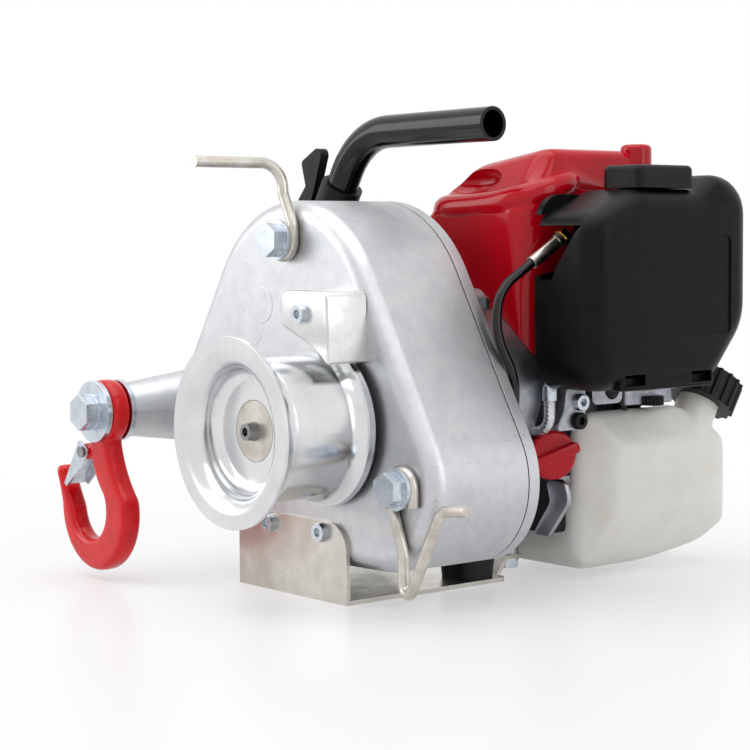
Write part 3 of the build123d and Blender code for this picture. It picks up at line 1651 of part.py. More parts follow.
# Muffler on the left, and the guard over it
with BuildPart() as muffler:
    with BuildSketch(Plane.YZ.offset(muffler_inner_x)):
        with Locations((cylinder_y, port_place[1])):
            RectangleRounded(muffler_length, muffler_height, 10)
    extrude(amount=-muffler_depth)
    fillet(muffler.faces().sort_by(Axis.X)[0].edges(), 6)
    with BuildSketch(Plane.YZ.offset(muffler_inner_x)):
        with Locations(port_place):
            Circle(port_radius)
    extrude(amount=crank_x - port_reach - muffler_inner_x)
muffler.part.label = "muffler"
export_step(muffler.part, "parts/muffler.step")

guard_outer_x = muffler_inner_x - muffler_depth - guard_gap
guard_length = muffler_length + 2 * guard_margin
guard_height = muffler_height + 2 * guard_margin
with BuildPart() as muffler_guard:
    with BuildSketch(Plane.YZ.offset(guard_outer_x)):
        with Locations((cylinder_y, port_place[1])):
            RectangleRounded(guard_length, guard_height, guard_corner)
    extrude(amount=muffler_depth)
    fillet(muffler_guard.faces().sort_by(Axis.X)[0].edges(), guard_edge)
    with BuildSketch(Plane.YZ.offset(guard_outer_x + shroud_wall)):
        with Locations((cylinder_y, port_place[1])):
            RectangleRounded(
                guard_length - 2 * shroud_wall, guard_height - 2 * shroud_wall, guard_corner - shroud_wall
            )
    extrude(amount=muffler_depth, mode=Mode.SUBTRACT)
    with BuildSketch(Plane.YZ.offset(guard_outer_x)):
        with Locations((cylinder_y, port_place[1])):
            with GridLocations(0, guard_slot_step, 1, guard_slot_count):
                SlotOverall(muffler_length - 4, 4.5)
    extrude(amount=2 * shroud_wall, mode=Mode.SUBTRACT)
    with BuildSketch(Plane.YZ.offset(guard_outer_x + shroud_wall / 2)):
        with Locations((cylinder_y, port_place[1])):
            with GridLocations(0, muffler_height - 14, 1, 2):
                Circle(3)
    extrude(amount=guard_gap - shroud_wall / 2)
muffler_guard.part.label = "muffler_guard"
export_step(muffler_guard.part, "parts/muffler_guard.step")

# Carburettor between cylinder and air cleaner, with its primer and choke lever
choke_rear_y = carburettor_y - bowl_length / 2
with BuildPart() as carburettor:
    with BuildSketch(Plane.YZ.offset(carburettor_inner_x)):
        with Locations((carburettor_y, (carburettor_top_z + bowl_top_z) / 2)):
            RectangleRounded(carburettor_length, carburettor_top_z - bowl_top_z, 5)
        with Locations((carburettor_y, (bowl_top_z + bowl_bottom_z) / 2 + 3)):
            RectangleRounded(bowl_length, bowl_top_z - bowl_bottom_z + 6, 4)
    extrude(amount=cleaner_base_x - carburettor_inner_x)
    with BuildSketch(Plane.YZ.offset(carburettor_inner_x)):
        with Locations(port_place):
            Circle(intake_radius)
    extrude(amount=cleaner_base_x - carburettor_inner_x, mode=Mode.SUBTRACT)
    with BuildSketch(Plane.YZ.offset(cleaner_base_x)):
        with Locations(primer_place):
            Circle(primer_radius + hand_gap)
    extrude(amount=-primer_travel - 2, mode=Mode.SUBTRACT)
    with BuildSketch(upright(choke_rear_y)):
        with Locations(choke_pivot):
            Circle(choke_pin_radius)
    extrude(amount=choke_thickness + 2 * hand_gap)
carburettor.part.label = "carburettor"
export_step(carburettor.part, "parts/carburettor.step")

with BuildPart() as primer_bulb:
    with BuildSketch(Plane.YZ.offset(cleaner_base_x - 1.5)):
        with Locations(primer_place):
            Circle(primer_radius)
    extrude(amount=3.5)
    fillet(primer_bulb.faces().sort_by(Axis.X)[-1].edges(), 3)
primer_bulb.part.label = "primer_bulb"
export_step(primer_bulb.part, "parts/primer_bulb.step")

with BuildPart() as choke_lever:
    with BuildSketch(upright(choke_rear_y - hand_gap)):
        with Locations(choke_pivot):
            Circle(choke_pin_radius + 3)
        with Locations((choke_pivot[0] + choke_reach[0], choke_pivot[1] + choke_reach[1])):
            Circle(choke_pin_radius + 0.5)
        make_hull()
        with Locations(choke_pivot):
            Circle(choke_pin_radius + running_gap, mode=Mode.SUBTRACT)
    extrude(amount=choke_thickness)
choke_lever.part.label = "choke_lever"
export_step(choke_lever.part, "parts/choke_lever.step")


# Air cleaner: base plate, foam and hinged cover with a notch for the cable
def cleaner_outline(inset):
    """Outline of the air cleaner in the side plane, with a round rear."""
    front = cleaner_front_y + inset
    rear = cleaner_rear_y - inset
    bottom = cleaner_bottom_z + inset
    top = cleaner_top_z - inset
    with BuildSketch() as outline:
        with BuildLine():
            FilletPolyline(
                (front, bottom), (rear - cleaner_undercut, bottom), (rear, bottom + cleaner_undercut),
                (rear, top), (front, top),
                radius=[
                    cleaner_corner_radius, cleaner_corner_radius, cleaner_rear_radius / 2,
                    cleaner_rear_radius, cleaner_corner_radius,
                ],
                close=True,
            )
        make_face()
    return outline.sketch


with BuildPart() as air_cleaner_base:
    with BuildSketch(Plane.YZ.offset(cleaner_base_x)):
        add(cleaner_outline(cleaner_wall + hand_gap))
        with Locations(port_place):
            Circle(intake_radius, mode=Mode.SUBTRACT)
    extrude(amount=cleaner_inner_x - cleaner_base_x)
    with BuildSketch(Plane.YZ.offset(cleaner_base_x)):
        with BuildLine():
            Polyline(*cleaner_notch, close=True)
        make_face()
    extrude(amount=cleaner_inner_x - cleaner_base_x, mode=Mode.SUBTRACT)
air_cleaner_base.part.label = "air_cleaner_base"
export_step(air_cleaner_base.part, "parts/air_cleaner_base.step")

with BuildPart() as air_filter:
    with BuildSketch(Plane.YZ.offset(cleaner_inner_x)):
        with Locations(filter_centre):
            RectangleRounded(filter_length, filter_height, 10)
    extrude(amount=filter_depth)
air_filter.part.label = "air_filter"
export_step(air_filter.part, "parts/air_filter.step")

with BuildPart() as air_cleaner_cover:
    with BuildSketch(Plane.YZ.offset(cleaner_inner_x + hand_gap)):
        add(cleaner_outline(0))
    extrude(amount=cleaner_outer_x - cleaner_inner_x - hand_gap)
    fillet(air_cleaner_cover.faces().sort_by(Axis.X)[-1].edges(), cleaner_edge_radius)
    with BuildSketch(Plane.YZ.offset(cleaner_inner_x + hand_gap)):
        add(cleaner_outline(cleaner_wall))
    extrude(amount=cleaner_outer_x - cleaner_inner_x - hand_gap - cleaner_edge_radius, mode=Mode.SUBTRACT)
    with BuildSketch(Plane.YZ.offset(cleaner_outer_x - cleaner_edge_radius)):
        add(cleaner_outline(cleaner_edge_radius * 0.7 + cleaner_wall))
    extrude(amount=cleaner_edge_radius - cleaner_wall, mode=Mode.SUBTRACT)
    with BuildSketch(Plane.YZ.offset(cleaner_inner_x)):
        with BuildLine():
            Polyline(*cleaner_notch, close=True)
        make_face()
    extrude(amount=notch_depth, mode=Mode.SUBTRACT)
air_cleaner_cover.part.label = "air_cleaner_cover"
export_step(air_cleaner_cover.part, "parts/air_cleaner_cover.step")

with BuildPart() as cover_latch:
    with BuildSketch(Plane.XY.offset(cleaner_top_z + hand_gap)):
        with Locations(((latch_left_x + latch_right_x) / 2, cover_latch_y)):
            RectangleRounded(latch_right_x - latch_left_x, cover_latch_length, 5)
    extrude(amount=cover_latch_height)
    fillet(cover_latch.faces().sort_by(Axis.Z)[-1].edges(), 3)
cover_latch.part.label = "cover_latch"
export_step(cover_latch.part, "parts/cover_latch.step")


# Fuel tank: a saddle under the engine, hollow, with a leaning neck
def tank_body(inset):
    """Saddle-shaped block for the outside and the inside of the tank."""
    with BuildPart() as body:
        with BuildSketch(Plane.XY.offset(tank_bottom_z + inset)):
            with Locations(((tank_left_x + tank_right_x) / 2, (tank_front_y + tank_rear_y) / 2)):
                RectangleRounded(
                    tank_right_x - tank_left_x - 2 * inset, tank_rear_y - tank_front_y - 2 * inset,
                    tank_corner_radius - inset,
                )
        extrude(amount=tank_top_z - tank_bottom_z - 2 * inset)
        fillet(body.faces().sort_by(Axis.Z)[0].edges(), tank_corner_radius - inset - 4)
        fillet(body.faces().sort_by(Axis.Z)[-1].edges(), tank_edge_radius - inset)
        with BuildSketch(upright(tank_rear_y)):
            with Locations((crank_x, tank_saddle_z - inset)):
                Rectangle(
                    2 * (tank_saddle_half_width + inset), tank_top_z, align=(Align.CENTER, Align.MIN)
                )
        extrude(amount=tank_rear_y - tank_front_y, mode=Mode.SUBTRACT)
        with BuildSketch(upright(starter_rear_y + 4 + inset)):
            with Locations(crank_axis):
                Circle(fan_case_radius + 2 + inset)
        extrude(amount=starter_rear_y + 4 + inset - tank_front_y, mode=Mode.SUBTRACT)
    return body.part


with BuildPart() as fuel_tank:
    add(tank_body(0))
    with BuildSketch(neck_plane):
        Circle(tank_neck_radius)
    extrude(amount=tank_neck_length)
    add(tank_body(tank_wall), mode=Mode.SUBTRACT)
    with BuildSketch(neck_plane):
        Circle(tank_neck_radius - tank_wall)
    extrude(amount=tank_neck_length, mode=Mode.SUBTRACT)
fuel_tank.part.label = "fuel_tank"
export_step(fuel_tank.part, "parts/fuel_tank.step")

cap_plane = neck_plane.offset(tank_neck_length + hand_gap)
with BuildPart() as fuel_cap:
    with BuildSketch(cap_plane.offset(-fuel_cap_skirt)):
        Circle(fuel_cap_radius)
        with PolarLocations(fuel_cap_radius, fuel_cap_ribs):
            Circle(1.4)
    extrude(amount=fuel_cap_height)
    with BuildSketch(cap_plane.offset(-fuel_cap_skirt)):
        Circle(tank_neck_radius + hand_gap)
    extrude(amount=fuel_cap_skirt, mode=Mode.SUBTRACT)
fuel_cap.part.label = "fuel_cap"
export_step(fuel_cap.part, "parts/fuel_cap.step")

# Rubber mount between crankcase and tank
with BuildPart() as tank_mount:
    with BuildSketch(upright(tank_front_y - hand_gap)):
        with Locations((tank_mount_x, (crankcase_bottom_z + tank_mount_bottom_z) / 2)):
            RectangleRounded(tank_mount_width, crankcase_bottom_z - tank_mount_bottom_z, 3)
    extrude(amount=tank_mount_thickness)
tank_mount.part.label = "tank_mount"
export_step(tank_mount.part, "parts/tank_mount.step")

# Bracket under the air cleaner, with its screws
crankcase_side_x = crank_x + crankcase_half_width
with BuildPart() as engine_bracket:
    with BuildSketch(Plane.YZ.offset(bracket_plate_x)):
        with Locations((bracket_plate_y, bracket_plate_z)):
            RectangleRounded(bracket_plate_length, bracket_plate_height, 3)
    extrude(amount=sheet)
    with BuildSketch(Plane.XY.offset(bracket_plate_z - bracket_plate_height / 2 + 4)):
        with Locations(((crankcase_side_x + bracket_plate_x + sheet) / 2, bracket_plate_y)):
            Rectangle(bracket_plate_x + sheet - crankcase_side_x, bracket_plate_length - 10)
    extrude(amount=sheet)
engine_bracket.part.label = "engine_bracket"
export_step(engine_bracket.part, "parts/engine_bracket.step")
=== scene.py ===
"""Looks of a portable petrol capstan winch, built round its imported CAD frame.

Everything is in metres in the frame of the CAD model: +X runs from the hook to the air cleaner, +Y along the
drum's axis towards the engine and +Z up. The sizes of single pieces are written in millimetres. Most CAD nodes keep
their shapes and get their finishes here. A few are replaced by finer shapes, and small pieces that the CAD model
leaves out are modelled round them.
"""

import logging
import math
from collections.abc import Callable, Sequence
from dataclasses import dataclass
from enum import Enum
from functools import cache

import bmesh
import bpy
from mathutils import Matrix, Vector


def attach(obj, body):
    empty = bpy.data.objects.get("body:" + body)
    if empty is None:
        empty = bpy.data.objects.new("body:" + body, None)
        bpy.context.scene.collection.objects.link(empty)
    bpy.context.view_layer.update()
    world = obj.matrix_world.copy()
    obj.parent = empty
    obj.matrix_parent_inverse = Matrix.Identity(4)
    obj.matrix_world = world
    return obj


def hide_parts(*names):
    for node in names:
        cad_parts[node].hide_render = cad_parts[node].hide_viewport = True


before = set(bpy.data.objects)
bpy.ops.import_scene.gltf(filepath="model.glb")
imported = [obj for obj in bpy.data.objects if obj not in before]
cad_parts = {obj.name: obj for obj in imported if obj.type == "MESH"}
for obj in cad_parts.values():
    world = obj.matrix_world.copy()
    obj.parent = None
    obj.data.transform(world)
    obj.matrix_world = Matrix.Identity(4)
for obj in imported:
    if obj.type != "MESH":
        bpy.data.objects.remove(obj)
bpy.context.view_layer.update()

LOG = logging.getLogger("winch")
MM = 0.001
NEAR = 0.05  # millimetres within which a point counts as lying on a face
X_WAY, Y_WAY, Z_WAY = Vector((1.0, 0.0, 0.0)), Vector((0.0, 1.0, 0.0)), Vector((0.0, 0.0, 1.0))
WHITE = (1.0, 1.0, 1.0, 1.0)

Point = tuple[float, float, float]
Flat = tuple[float, float]
Sides = tuple[float, float, float, float]
Tree = bpy.types.NodeTree
Socket = bpy.types.NodeSocket


def linear(code: str) -> tuple[float, float, float, float]:
    """Turn an sRGB hex colour into linear values.

    Args:
        code: six hex digits, such as "b4121f".

    Returns:
        Red, green, blue and alpha in linear light.
    """
    values = [int(code[i : i + 2], 16) / 255 for i in (0, 2, 4)]
    red, green, blue = (v / 12.92 if v <= 0.04045 else ((v + 0.055) / 1.055) ** 2.4 for v in values)
    return (red, green, blue, 1.0)


def per_metre(size_mm: float) -> float:
    """Scale of a pattern whose features are size_mm across, on coordinates in metres."""
    return 1.0 / (size_mm * MM)


def add_node(
    tree: Tree,
    kind: str,
    settings: dict[str | int, object] | None = None,
    links: dict[str | int, Socket] | None = None,
) -> bpy.types.Node:
    """Add one shader node, set its values and link its inputs.

    Args:
        tree: the node tree that gets the node.
        kind: the node's type name, without the words that all of them start with.
        settings: values by attribute name, or by input name or number.
        links: output sockets of other nodes by input name or number.

    Returns:
        The new node.
    """
    node = tree.nodes.new("ShaderNode" + kind)
    for key, value in (settings or {}).items():
        if isinstance(key, str) and hasattr(node, key):
            setattr(node, key, value)
        else:
            node.inputs[key].default_value = value
    for key, socket in (links or {}).items():
        tree.links.new(socket, node.inputs[key])
    return node


@dataclass(frozen=True)
class Finish:
    """A surface as it was made: colour, gloss and the grain that light picks out.

    Attributes:
        name: what the material is called.
        tint: main colour, sRGB hex.
        shade: colour of the duller patches, sRGB hex.
        patch_mm: size of those patches.
        metallic: 1 for bare metal, 0 for paint, plastic and rubber.
        roughness: middle roughness.
        roughness_swing: how far roughness goes each way over the patches.
        grain_mm: size of the surface grain.
        grain_depth_mm: height of that grain.
        edge_mm: how round the sharp edges look.
        coat: weight of a clear gloss layer.
        shine: specular level of what isn't metal.
        wear_and_sheen: lighter colour of the sharp edges, sRGB hex, or nothing; partly rubbed wear, partly a painted
            highlight.
        wear_and_sheen_amount: how much of that colour the edges take.
    """

    name: str
    tint: str
    shade: str
    patch_mm: float
    metallic: float
    roughness: float
    roughness_swing: float
    grain_mm: float
    grain_depth_mm: float
    edge_mm: float
    coat: float = 0.0
    shine: float = 0.5
    wear_and_sheen: str = ""
    wear_and_sheen_amount: float = 0.5

    def build(self) -> bpy.types.Material:
        """Make the material.

        Returns:
            The Blender material, with its nodes linked.
        """
        material = bpy.data.materials.new(self.name)
        material.use_nodes = True
        tree = material.node_tree
        tree.nodes.clear()
        place = add_node(tree, "TexCoord").outputs["Object"]
        shader = add_node(
            tree,
            "BsdfPrincipled",
            {
                "Metallic": self.metallic,
                "Coat Weight": self.coat,
                "Coat Roughness": 0.06,
                "Specular IOR Level": self.shine,
            },
            {
                "Base Color": self.rubbed_and_lit(tree, self.colour(tree, place)),
                "Roughness": self.gloss(tree, place),
                "Normal": self.relief(tree, place),
            },
        )
        self.extra(shader)
        add_node(tree, "OutputMaterial", links={"Surface": shader.outputs["BSDF"]})
        return material

    def colour(self, tree: Tree, place: Socket) -> Socket:
        """Mix the two colours over soft patches.

        Args:
            tree: the material's node tree.
            place: the coordinates, in metres.

        Returns:
            The colour socket.
        """
        grid = {"Scale": per_metre(self.patch_mm), "Detail": 4.0, "Roughness": 0.6}
        patches = add_node(tree, "TexNoise", grid, {"Vector": place})
        share = add_node(tree, "MapRange", {"From Min": 0.35, "From Max": 0.65}, {"Value": patches.outputs["Fac"]})
        colours = {"data_type": "RGBA", 6: linear(self.tint), 7: linear(self.shade)}
        return add_node(tree, "Mix", colours, {0: share.outputs["Result"]}).outputs[2]

    def rubbed_and_lit(self, tree: Tree, base: Socket) -> Socket:
        """Mix the edge colour in along sharp edges, where the rounded normal leaves the flat one: partly wear, partly
        painted highlight.

        Args:
            tree: the material's node tree.
            base: the colour away from edges.

        Returns:
            The colour socket.
        """
        if not self.wear_and_sheen:
            return base
        # Painted highlight: this mask lightens sharp edges, partly as rubbed wear and partly as painted light.
        soft = add_node(tree, "Bevel", {"samples": 4, "Radius": 2 * self.edge_mm * MM}).outputs["Normal"]
        plain = add_node(tree, "NewGeometry").outputs["Normal"]
        agree = add_node(tree, "VectorMath", {"operation": "DOT_PRODUCT"}, {0: soft, 1: plain})
        bounds = {"From Min": 0.995, "From Max": 0.93, "To Min": 0.0, "To Max": self.wear_and_sheen_amount}
        rim = add_node(tree, "MapRange", bounds, {"Value": agree.outputs["Value"]})
        colours = {"data_type": "RGBA", 7: linear(self.wear_and_sheen)}
        return add_node(tree, "Mix", colours, {0: rim.outputs["Result"], 6: base}).outputs[2]

    def gloss(self, tree: Tree, place: Socket) -> Socket:
        """Vary roughness over patches half as large as the colour's.

        Args:
            tree: the material's node tree.
            place: the coordinates, in metres.

        Returns:
            The roughness socket.
        """
        smudge = add_node(tree, "TexNoise", {"Scale": per_metre(self.patch_mm / 2), "Detail": 5.0}, {"Vector": place})
        low, high = self.roughness - self.roughness_swing, self.roughness + self.roughness_swing
        bounds = {"From Min": 0.3, "From Max": 0.7, "To Min": low, "To Max": high}
        return add_node(tree, "MapRange", bounds, {"Value": smudge.outputs["Fac"]}).outputs["Result"]

    def height(self, tree: Tree, place: Socket) -> Socket:
        """Return the socket of the grain's height, from 0 to 1."""
        grid = {"Scale": per_metre(self.grain_mm), "Detail": 3.0, "Roughness": 0.55}
        return add_node(tree, "TexNoise", grid, {"Vector": place}).outputs["Fac"]

    def relief(self, tree: Tree, place: Socket) -> Socket:
        """Round the edges and add the grain.

        Args:
            tree: the material's node tree.
            place: the coordinates, in metres.

        Returns:
            The normal socket.
        """
        edge = add_node(tree, "Bevel", {"samples": 4, "Radius": self.edge_mm * MM}).outputs["Normal"]
        depth = {"Strength": 1.0, "Distance": self.grain_depth_mm * MM}
        return add_node(tree, "Bump", depth, {"Height": self.height(tree, place), "Normal": edge}).outputs["Normal"]

    def extra(self, shader: bpy.types.Node) -> None:
        """Set what only one kind of finish has; a plain finish has nothing."""


@dataclass(frozen=True)
class CastFinish(Finish):
    """Sand-cast aluminium: a fine pebbled skin with small pits darkened by painted shade, and dull cooling marks.

    Attributes:
        pit_mm: spacing of the pits.
        pit_painted_shade: painted shade inside a pit, sRGB hex.
    """

    pit_mm: float = 5.0
    pit_painted_shade: str = "77777b"

    def colour(self, tree: Tree, place: Socket) -> Socket:
        """Paint shade into scattered pits over the patches.

        Args:
            tree: the material's node tree.
            place: the coordinates, in metres.

        Returns:
            The colour socket.
        """
        base = Finish.colour(self, tree, place)
        # Painted shade: dark spots stand in for the shade inside pits.
        pits = add_node(tree, "TexVoronoi", {"Scale": per_metre(self.pit_mm), "Randomness": 1.0}, {"Vector": place})
        bounds = {"From Min": 0.03, "From Max": 0.11, "To Min": 0.75, "To Max": 0.0}
        edge = add_node(tree, "MapRange", bounds, {"Value": pits.outputs["Distance"]})
        colours = {"data_type": "RGBA", 7: linear(self.pit_painted_shade)}
        return add_node(tree, "Mix", colours, {0: edge.outputs["Result"], 6: base}).outputs[2]


@dataclass(frozen=True)
class TurnedFinish(Finish):
    """Metal cut on a lathe: fine rings about the spindle's axis, along Y.

    Attributes:
        axis_mm: place of the axis.
        ring_mm: spacing of the tool marks, drawn coarser than real so that they show.
    """

    axis_mm: Point = (0.0, 0.0, 95.5)
    ring_mm: float = 0.7

    def height(self, tree: Tree, place: Socket) -> Socket:
        """Draw the tool marks along the radius and the axis.

        Args:
            tree: the material's node tree.
            place: the coordinates, in metres.

        Returns:
            The socket of the marks' height.
        """
        axis = tuple(in_metres(self.axis_mm))
        centred = add_node(tree, "VectorMath", {"operation": "SUBTRACT", 1: axis}, {0: place})
        parts = add_node(tree, "SeparateXYZ", links={"Vector": centred.outputs["Vector"]}).outputs
        flat = add_node(tree, "CombineXYZ", links={"X": parts["X"], "Z": parts["Z"]})
        radius = add_node(tree, "VectorMath", {"operation": "LENGTH"}, {0: flat.outputs["Vector"]})
        along = add_node(tree, "Math", {"operation": "ADD"}, {0: radius.outputs["Value"], 1: parts["Y"]})
        grid = {"noise_dimensions": "1D", "Scale": per_metre(self.ring_mm), "Detail": 3.0, "Roughness": 0.7}
        return add_node(tree, "TexNoise", grid, {"W": along.outputs["Value"]}).outputs["Fac"]


@dataclass(frozen=True)
class DrawnFinish(Finish):
    """Rolled or drawn metal: faint streaks along one way.

    Attributes:
        stretch: how far the grain is squeezed along X, Y and Z; a small number is a long streak.
    """

    stretch: Point = (0.04, 1.0, 1.0)

    def height(self, tree: Tree, place: Socket) -> Socket:
        """Return the socket of the streaks' height."""
        squeezed = add_node(tree, "Mapping", {"Scale": self.stretch}, {"Vector": place})
        return Finish.height(self, tree, squeezed.outputs["Vector"])


@dataclass(frozen=True)
class MilkyFinish(Finish):
    """Blow-moulded polyethylene: light goes a little way in and comes out soft.

    Attributes:
        depth_mm: how far light spreads inside.
    """

    depth_mm: float = 6.0

    def extra(self, shader: bpy.types.Node) -> None:
        """Let light scatter below the surface.

        Args:
            shader: the material's main shader.
        """
        shader.inputs["Subsurface Weight"].default_value = 0.6
        shader.inputs["Subsurface Radius"].default_value = (1.0, 0.95, 0.8)
        shader.inputs["Subsurface Scale"].default_value = self.depth_mm * MM


@dataclass(frozen=True)
class BraidFinish(Finish):
    """Wire braid: two families of strands crossing on a slant.

    Attributes:
        strand_mm: spacing of the strands, drawn about twice as coarse as real so that they show.
        slant: angle of the strands to the hose, in degrees.
    """

    strand_mm: float = 1.6
    slant: float = 45.0

    def height(self, tree: Tree, place: Socket) -> Socket:
        """Lay one family of strands over the other.

        Args:
            tree: the material's node tree.
            place: the coordinates, in metres.

        Returns:
            The socket of the strands' height.
        """
        strands = []
        grid = {"bands_direction": "Z", "Scale": per_metre(self.strand_mm) / math.tau * 2, "Distortion": 0.0}
        for slant in (self.slant, -self.slant):
            turned = add_node(tree, "Mapping", {"Rotation": (math.radians(slant), 0.0, 0.0)}, {"Vector": place})
            strands.append(add_node(tree, "TexWave", grid, {"Vector": turned.outputs["Vector"]}).outputs["Fac"])
        return add_node(tree, "Math", {"operation": "MAXIMUM"}, dict(enumerate(strands))).outputs["Value"]


class Finishes(Enum):
    """The finishes of the winch, each named for what it is."""

    # The colour given for sharp edges in the finishes below is partly rubbed wear and partly a painted highlight.
    # Cast aluminium, bead-blasted: pale satin grey with soft flow marks and fine pits whose dark insides are painted
    # shade.
    CAST_ALUMINIUM = CastFinish(
        "blasted_cast_aluminium", "cbccce", "c0c2c6", 10.0, 1.0, 0.42, 0.025, 0.8, 0.04, 0.6, wear_and_sheen="dcdddf"
    )
    # Engine castings, duller and darker than the gear case.
    ENGINE_CASTING = CastFinish(
        "engine_die_casting", "b9bac0", "9a9ca4", 12.0, 1.0, 0.44, 0.07, 0.9, 0.04, 0.5, wear_and_sheen="d5d6da"
    )
    # Turned aluminium: near-white metal whose rings draw the highlights out into arcs.
    TURNED_ALUMINIUM = TurnedFinish("turned_aluminium", "dfe0e1", "d1d2d4", 30.0, 1.0, 0.2, 0.03, 0.7, 0.004, 0.3)
    # Bright zinc plate on bolts: bluish white, slightly cloudy.
    ZINC_BOLT = Finish("blue_zinc_plate", "d0d6dd", "b7bfc8", 7.0, 1.0, 0.27, 0.06, 0.6, 0.008, 0.3, wear_and_sheen="eef1f4")
    # Plated bar: warmer and duller where it was bent.
    ZINC_ROD = Finish("zinc_plated_bar", "d2cec7", "b9b3a9", 9.0, 1.0, 0.34, 0.06, 0.6, 0.012, 0.3)
    # Plated plate: faint rolling streaks along X, nearly a mirror.
    ZINC_SHEET = DrawnFinish(
        "zinc_plated_sheet", "cfccc5", "bab5ab", 22.0, 1.0, 0.3, 0.05, 0.5, 0.004, 0.3, wear_and_sheen="efece6"
    )
    # Machined plated block: cut faces, whiter than the sheet.
    ZINC_BLOCK = Finish("zinc_plated_block", "dfe0df", "cbccca", 12.0, 1.0, 0.3, 0.05, 0.7, 0.01, 0.4, wear_and_sheen="f2f2f1")
    # Cut and oiled steel: mid grey with a wet gloss.
    GEAR_STEEL = Finish("oiled_gear_steel", "9b9b9e", "7d7d80", 8.0, 1.0, 0.3, 0.06, 0.5, 0.006, 0.2, wear_and_sheen="b9b9bb")
    # Turned brass: warm yellow.
    BRASS = Finish("turned_brass", "c79a4a", "ae8138", 5.0, 1.0, 0.26, 0.05, 0.5, 0.006, 0.2, wear_and_sheen="e0bd78")
    # Enamel on a rough forging: strong red, gloss over a lumpy skin, with lighter edges, partly rubbed and partly
    # painted highlight.
    RED_ENAMEL = Finish(
        "red_enamel_on_forging", "e00d16", "d20b13", 10.0, 0.0, 0.2, 0.05, 2.2, 0.04, 0.5, 0.1, 0.3, wear_and_sheen="e2443f"
    )
    # Stove enamel on tube: deep black with sharp long highlights.
    BLACK_ENAMEL = Finish(
        "black_stove_enamel", "050506", "090909", 10.0, 0.0, 0.15, 0.03, 1.2, 0.008, 0.4, 0.0, 0.32, wear_and_sheen="1c1c1e"
    )
    # Glass-filled nylon: black, slightly grainy.
    BLACK_NYLON = Finish(
        "black_glass_filled_nylon", "0d0d0e", "131314", 8.0, 0.0, 0.42, 0.06, 0.5, 0.02, 0.4, 0.0, 0.2, wear_and_sheen="1d1d1f"
    )
    # Moulded polypropylene: black with a broad soft sheen; its lighter edge colour is a painted highlight.
    BLACK_COVER = Finish(
        "black_moulded_polypropylene", "060608", "0a0a0c", 12.0, 0.0, 0.36, 0.05, 0.6, 0.014, 0.5, 0.0, 0.14, "121215"
    )
    # Gloss ABS: clean deep red that mirrors the soft boxes; its lighter edge colour is a painted highlight.
    RED_COVER = Finish(
        "red_gloss_abs", "c8071d", "be061a", 40.0, 0.0, 0.12, 0.03, 5.0, 0.006, 0.6, 0.0, 0.28, wear_and_sheen="d4303c"
    )
    # Blow-moulded polyethylene: milky white, light goes in and comes out soft.
    TANK_PLASTIC = MilkyFinish("milky_polyethylene", "f7f6f1", "f0eee6", 25.0, 0.0, 0.34, 0.05, 1.6, 0.012, 0.6)
    # Moulded rubber: dull charcoal.
    RUBBER = Finish("black_moulded_rubber", "0e0e0e", "141414", 6.0, 0.0, 0.55, 0.06, 0.6, 0.02, 0.4, shine=0.28)
    # Extruded PVC sheath: black with a thin bright line along the cable.
    CABLE_SHEATH = Finish("black_pvc_sheath", "070708", "0b0b0c", 9.0, 0.0, 0.24, 0.04, 0.8, 0.008, 0.2, shine=0.4)
    # Pressed fibre: dry dark grey edge between the castings.
    GASKET = Finish("pressed_gasket_fibre", "2c2b29", "383734", 4.0, 0.0, 0.8, 0.05, 0.5, 0.02, 0.1)
    # Open-cell foam: charcoal, full of holes.
    FOAM = Finish("open_cell_foam", "262523", "1a1918", 1.6, 0.0, 0.9, 0.05, 1.2, 0.4, 0.2)
    # Heat-tinted steel: brown to violet bloom.
    MUFFLER_STEEL = Finish("heat_tinted_steel", "84796e", "6a6470", 14.0, 1.0, 0.42, 0.08, 0.7, 0.01, 0.3)
    # Stainless braid: bright crossing wires over a dark hose.
    BRAID = BraidFinish("stainless_braid", "d9dadc", "c4c5c8", 6.0, 1.0, 0.3, 0.06, 1.1, 0.2, 0.2)

    @cache
    def material(self) -> bpy.types.Material:
        """Material of the finish, made when it is first asked for."""
        return self.value.build()


@dataclass
class SubAssembly:
    """A group of CAD nodes and the finish of each.

    Attributes:
        title: what the group is called in the log.
        nodes: names of the nodes by their finish.
    """

    title: str
    nodes: dict[Finishes, tuple[str, ...]]

    def dress(self) -> None:
        """Give each node of the group its finish."""
        for finish, names in self.nodes.items():
            for name in names:
                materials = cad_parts[name].data.materials
                materials.clear()
                materials.append(finish.material())
                LOG.info("%s: %s in %s", self.title, name, finish.value.name)


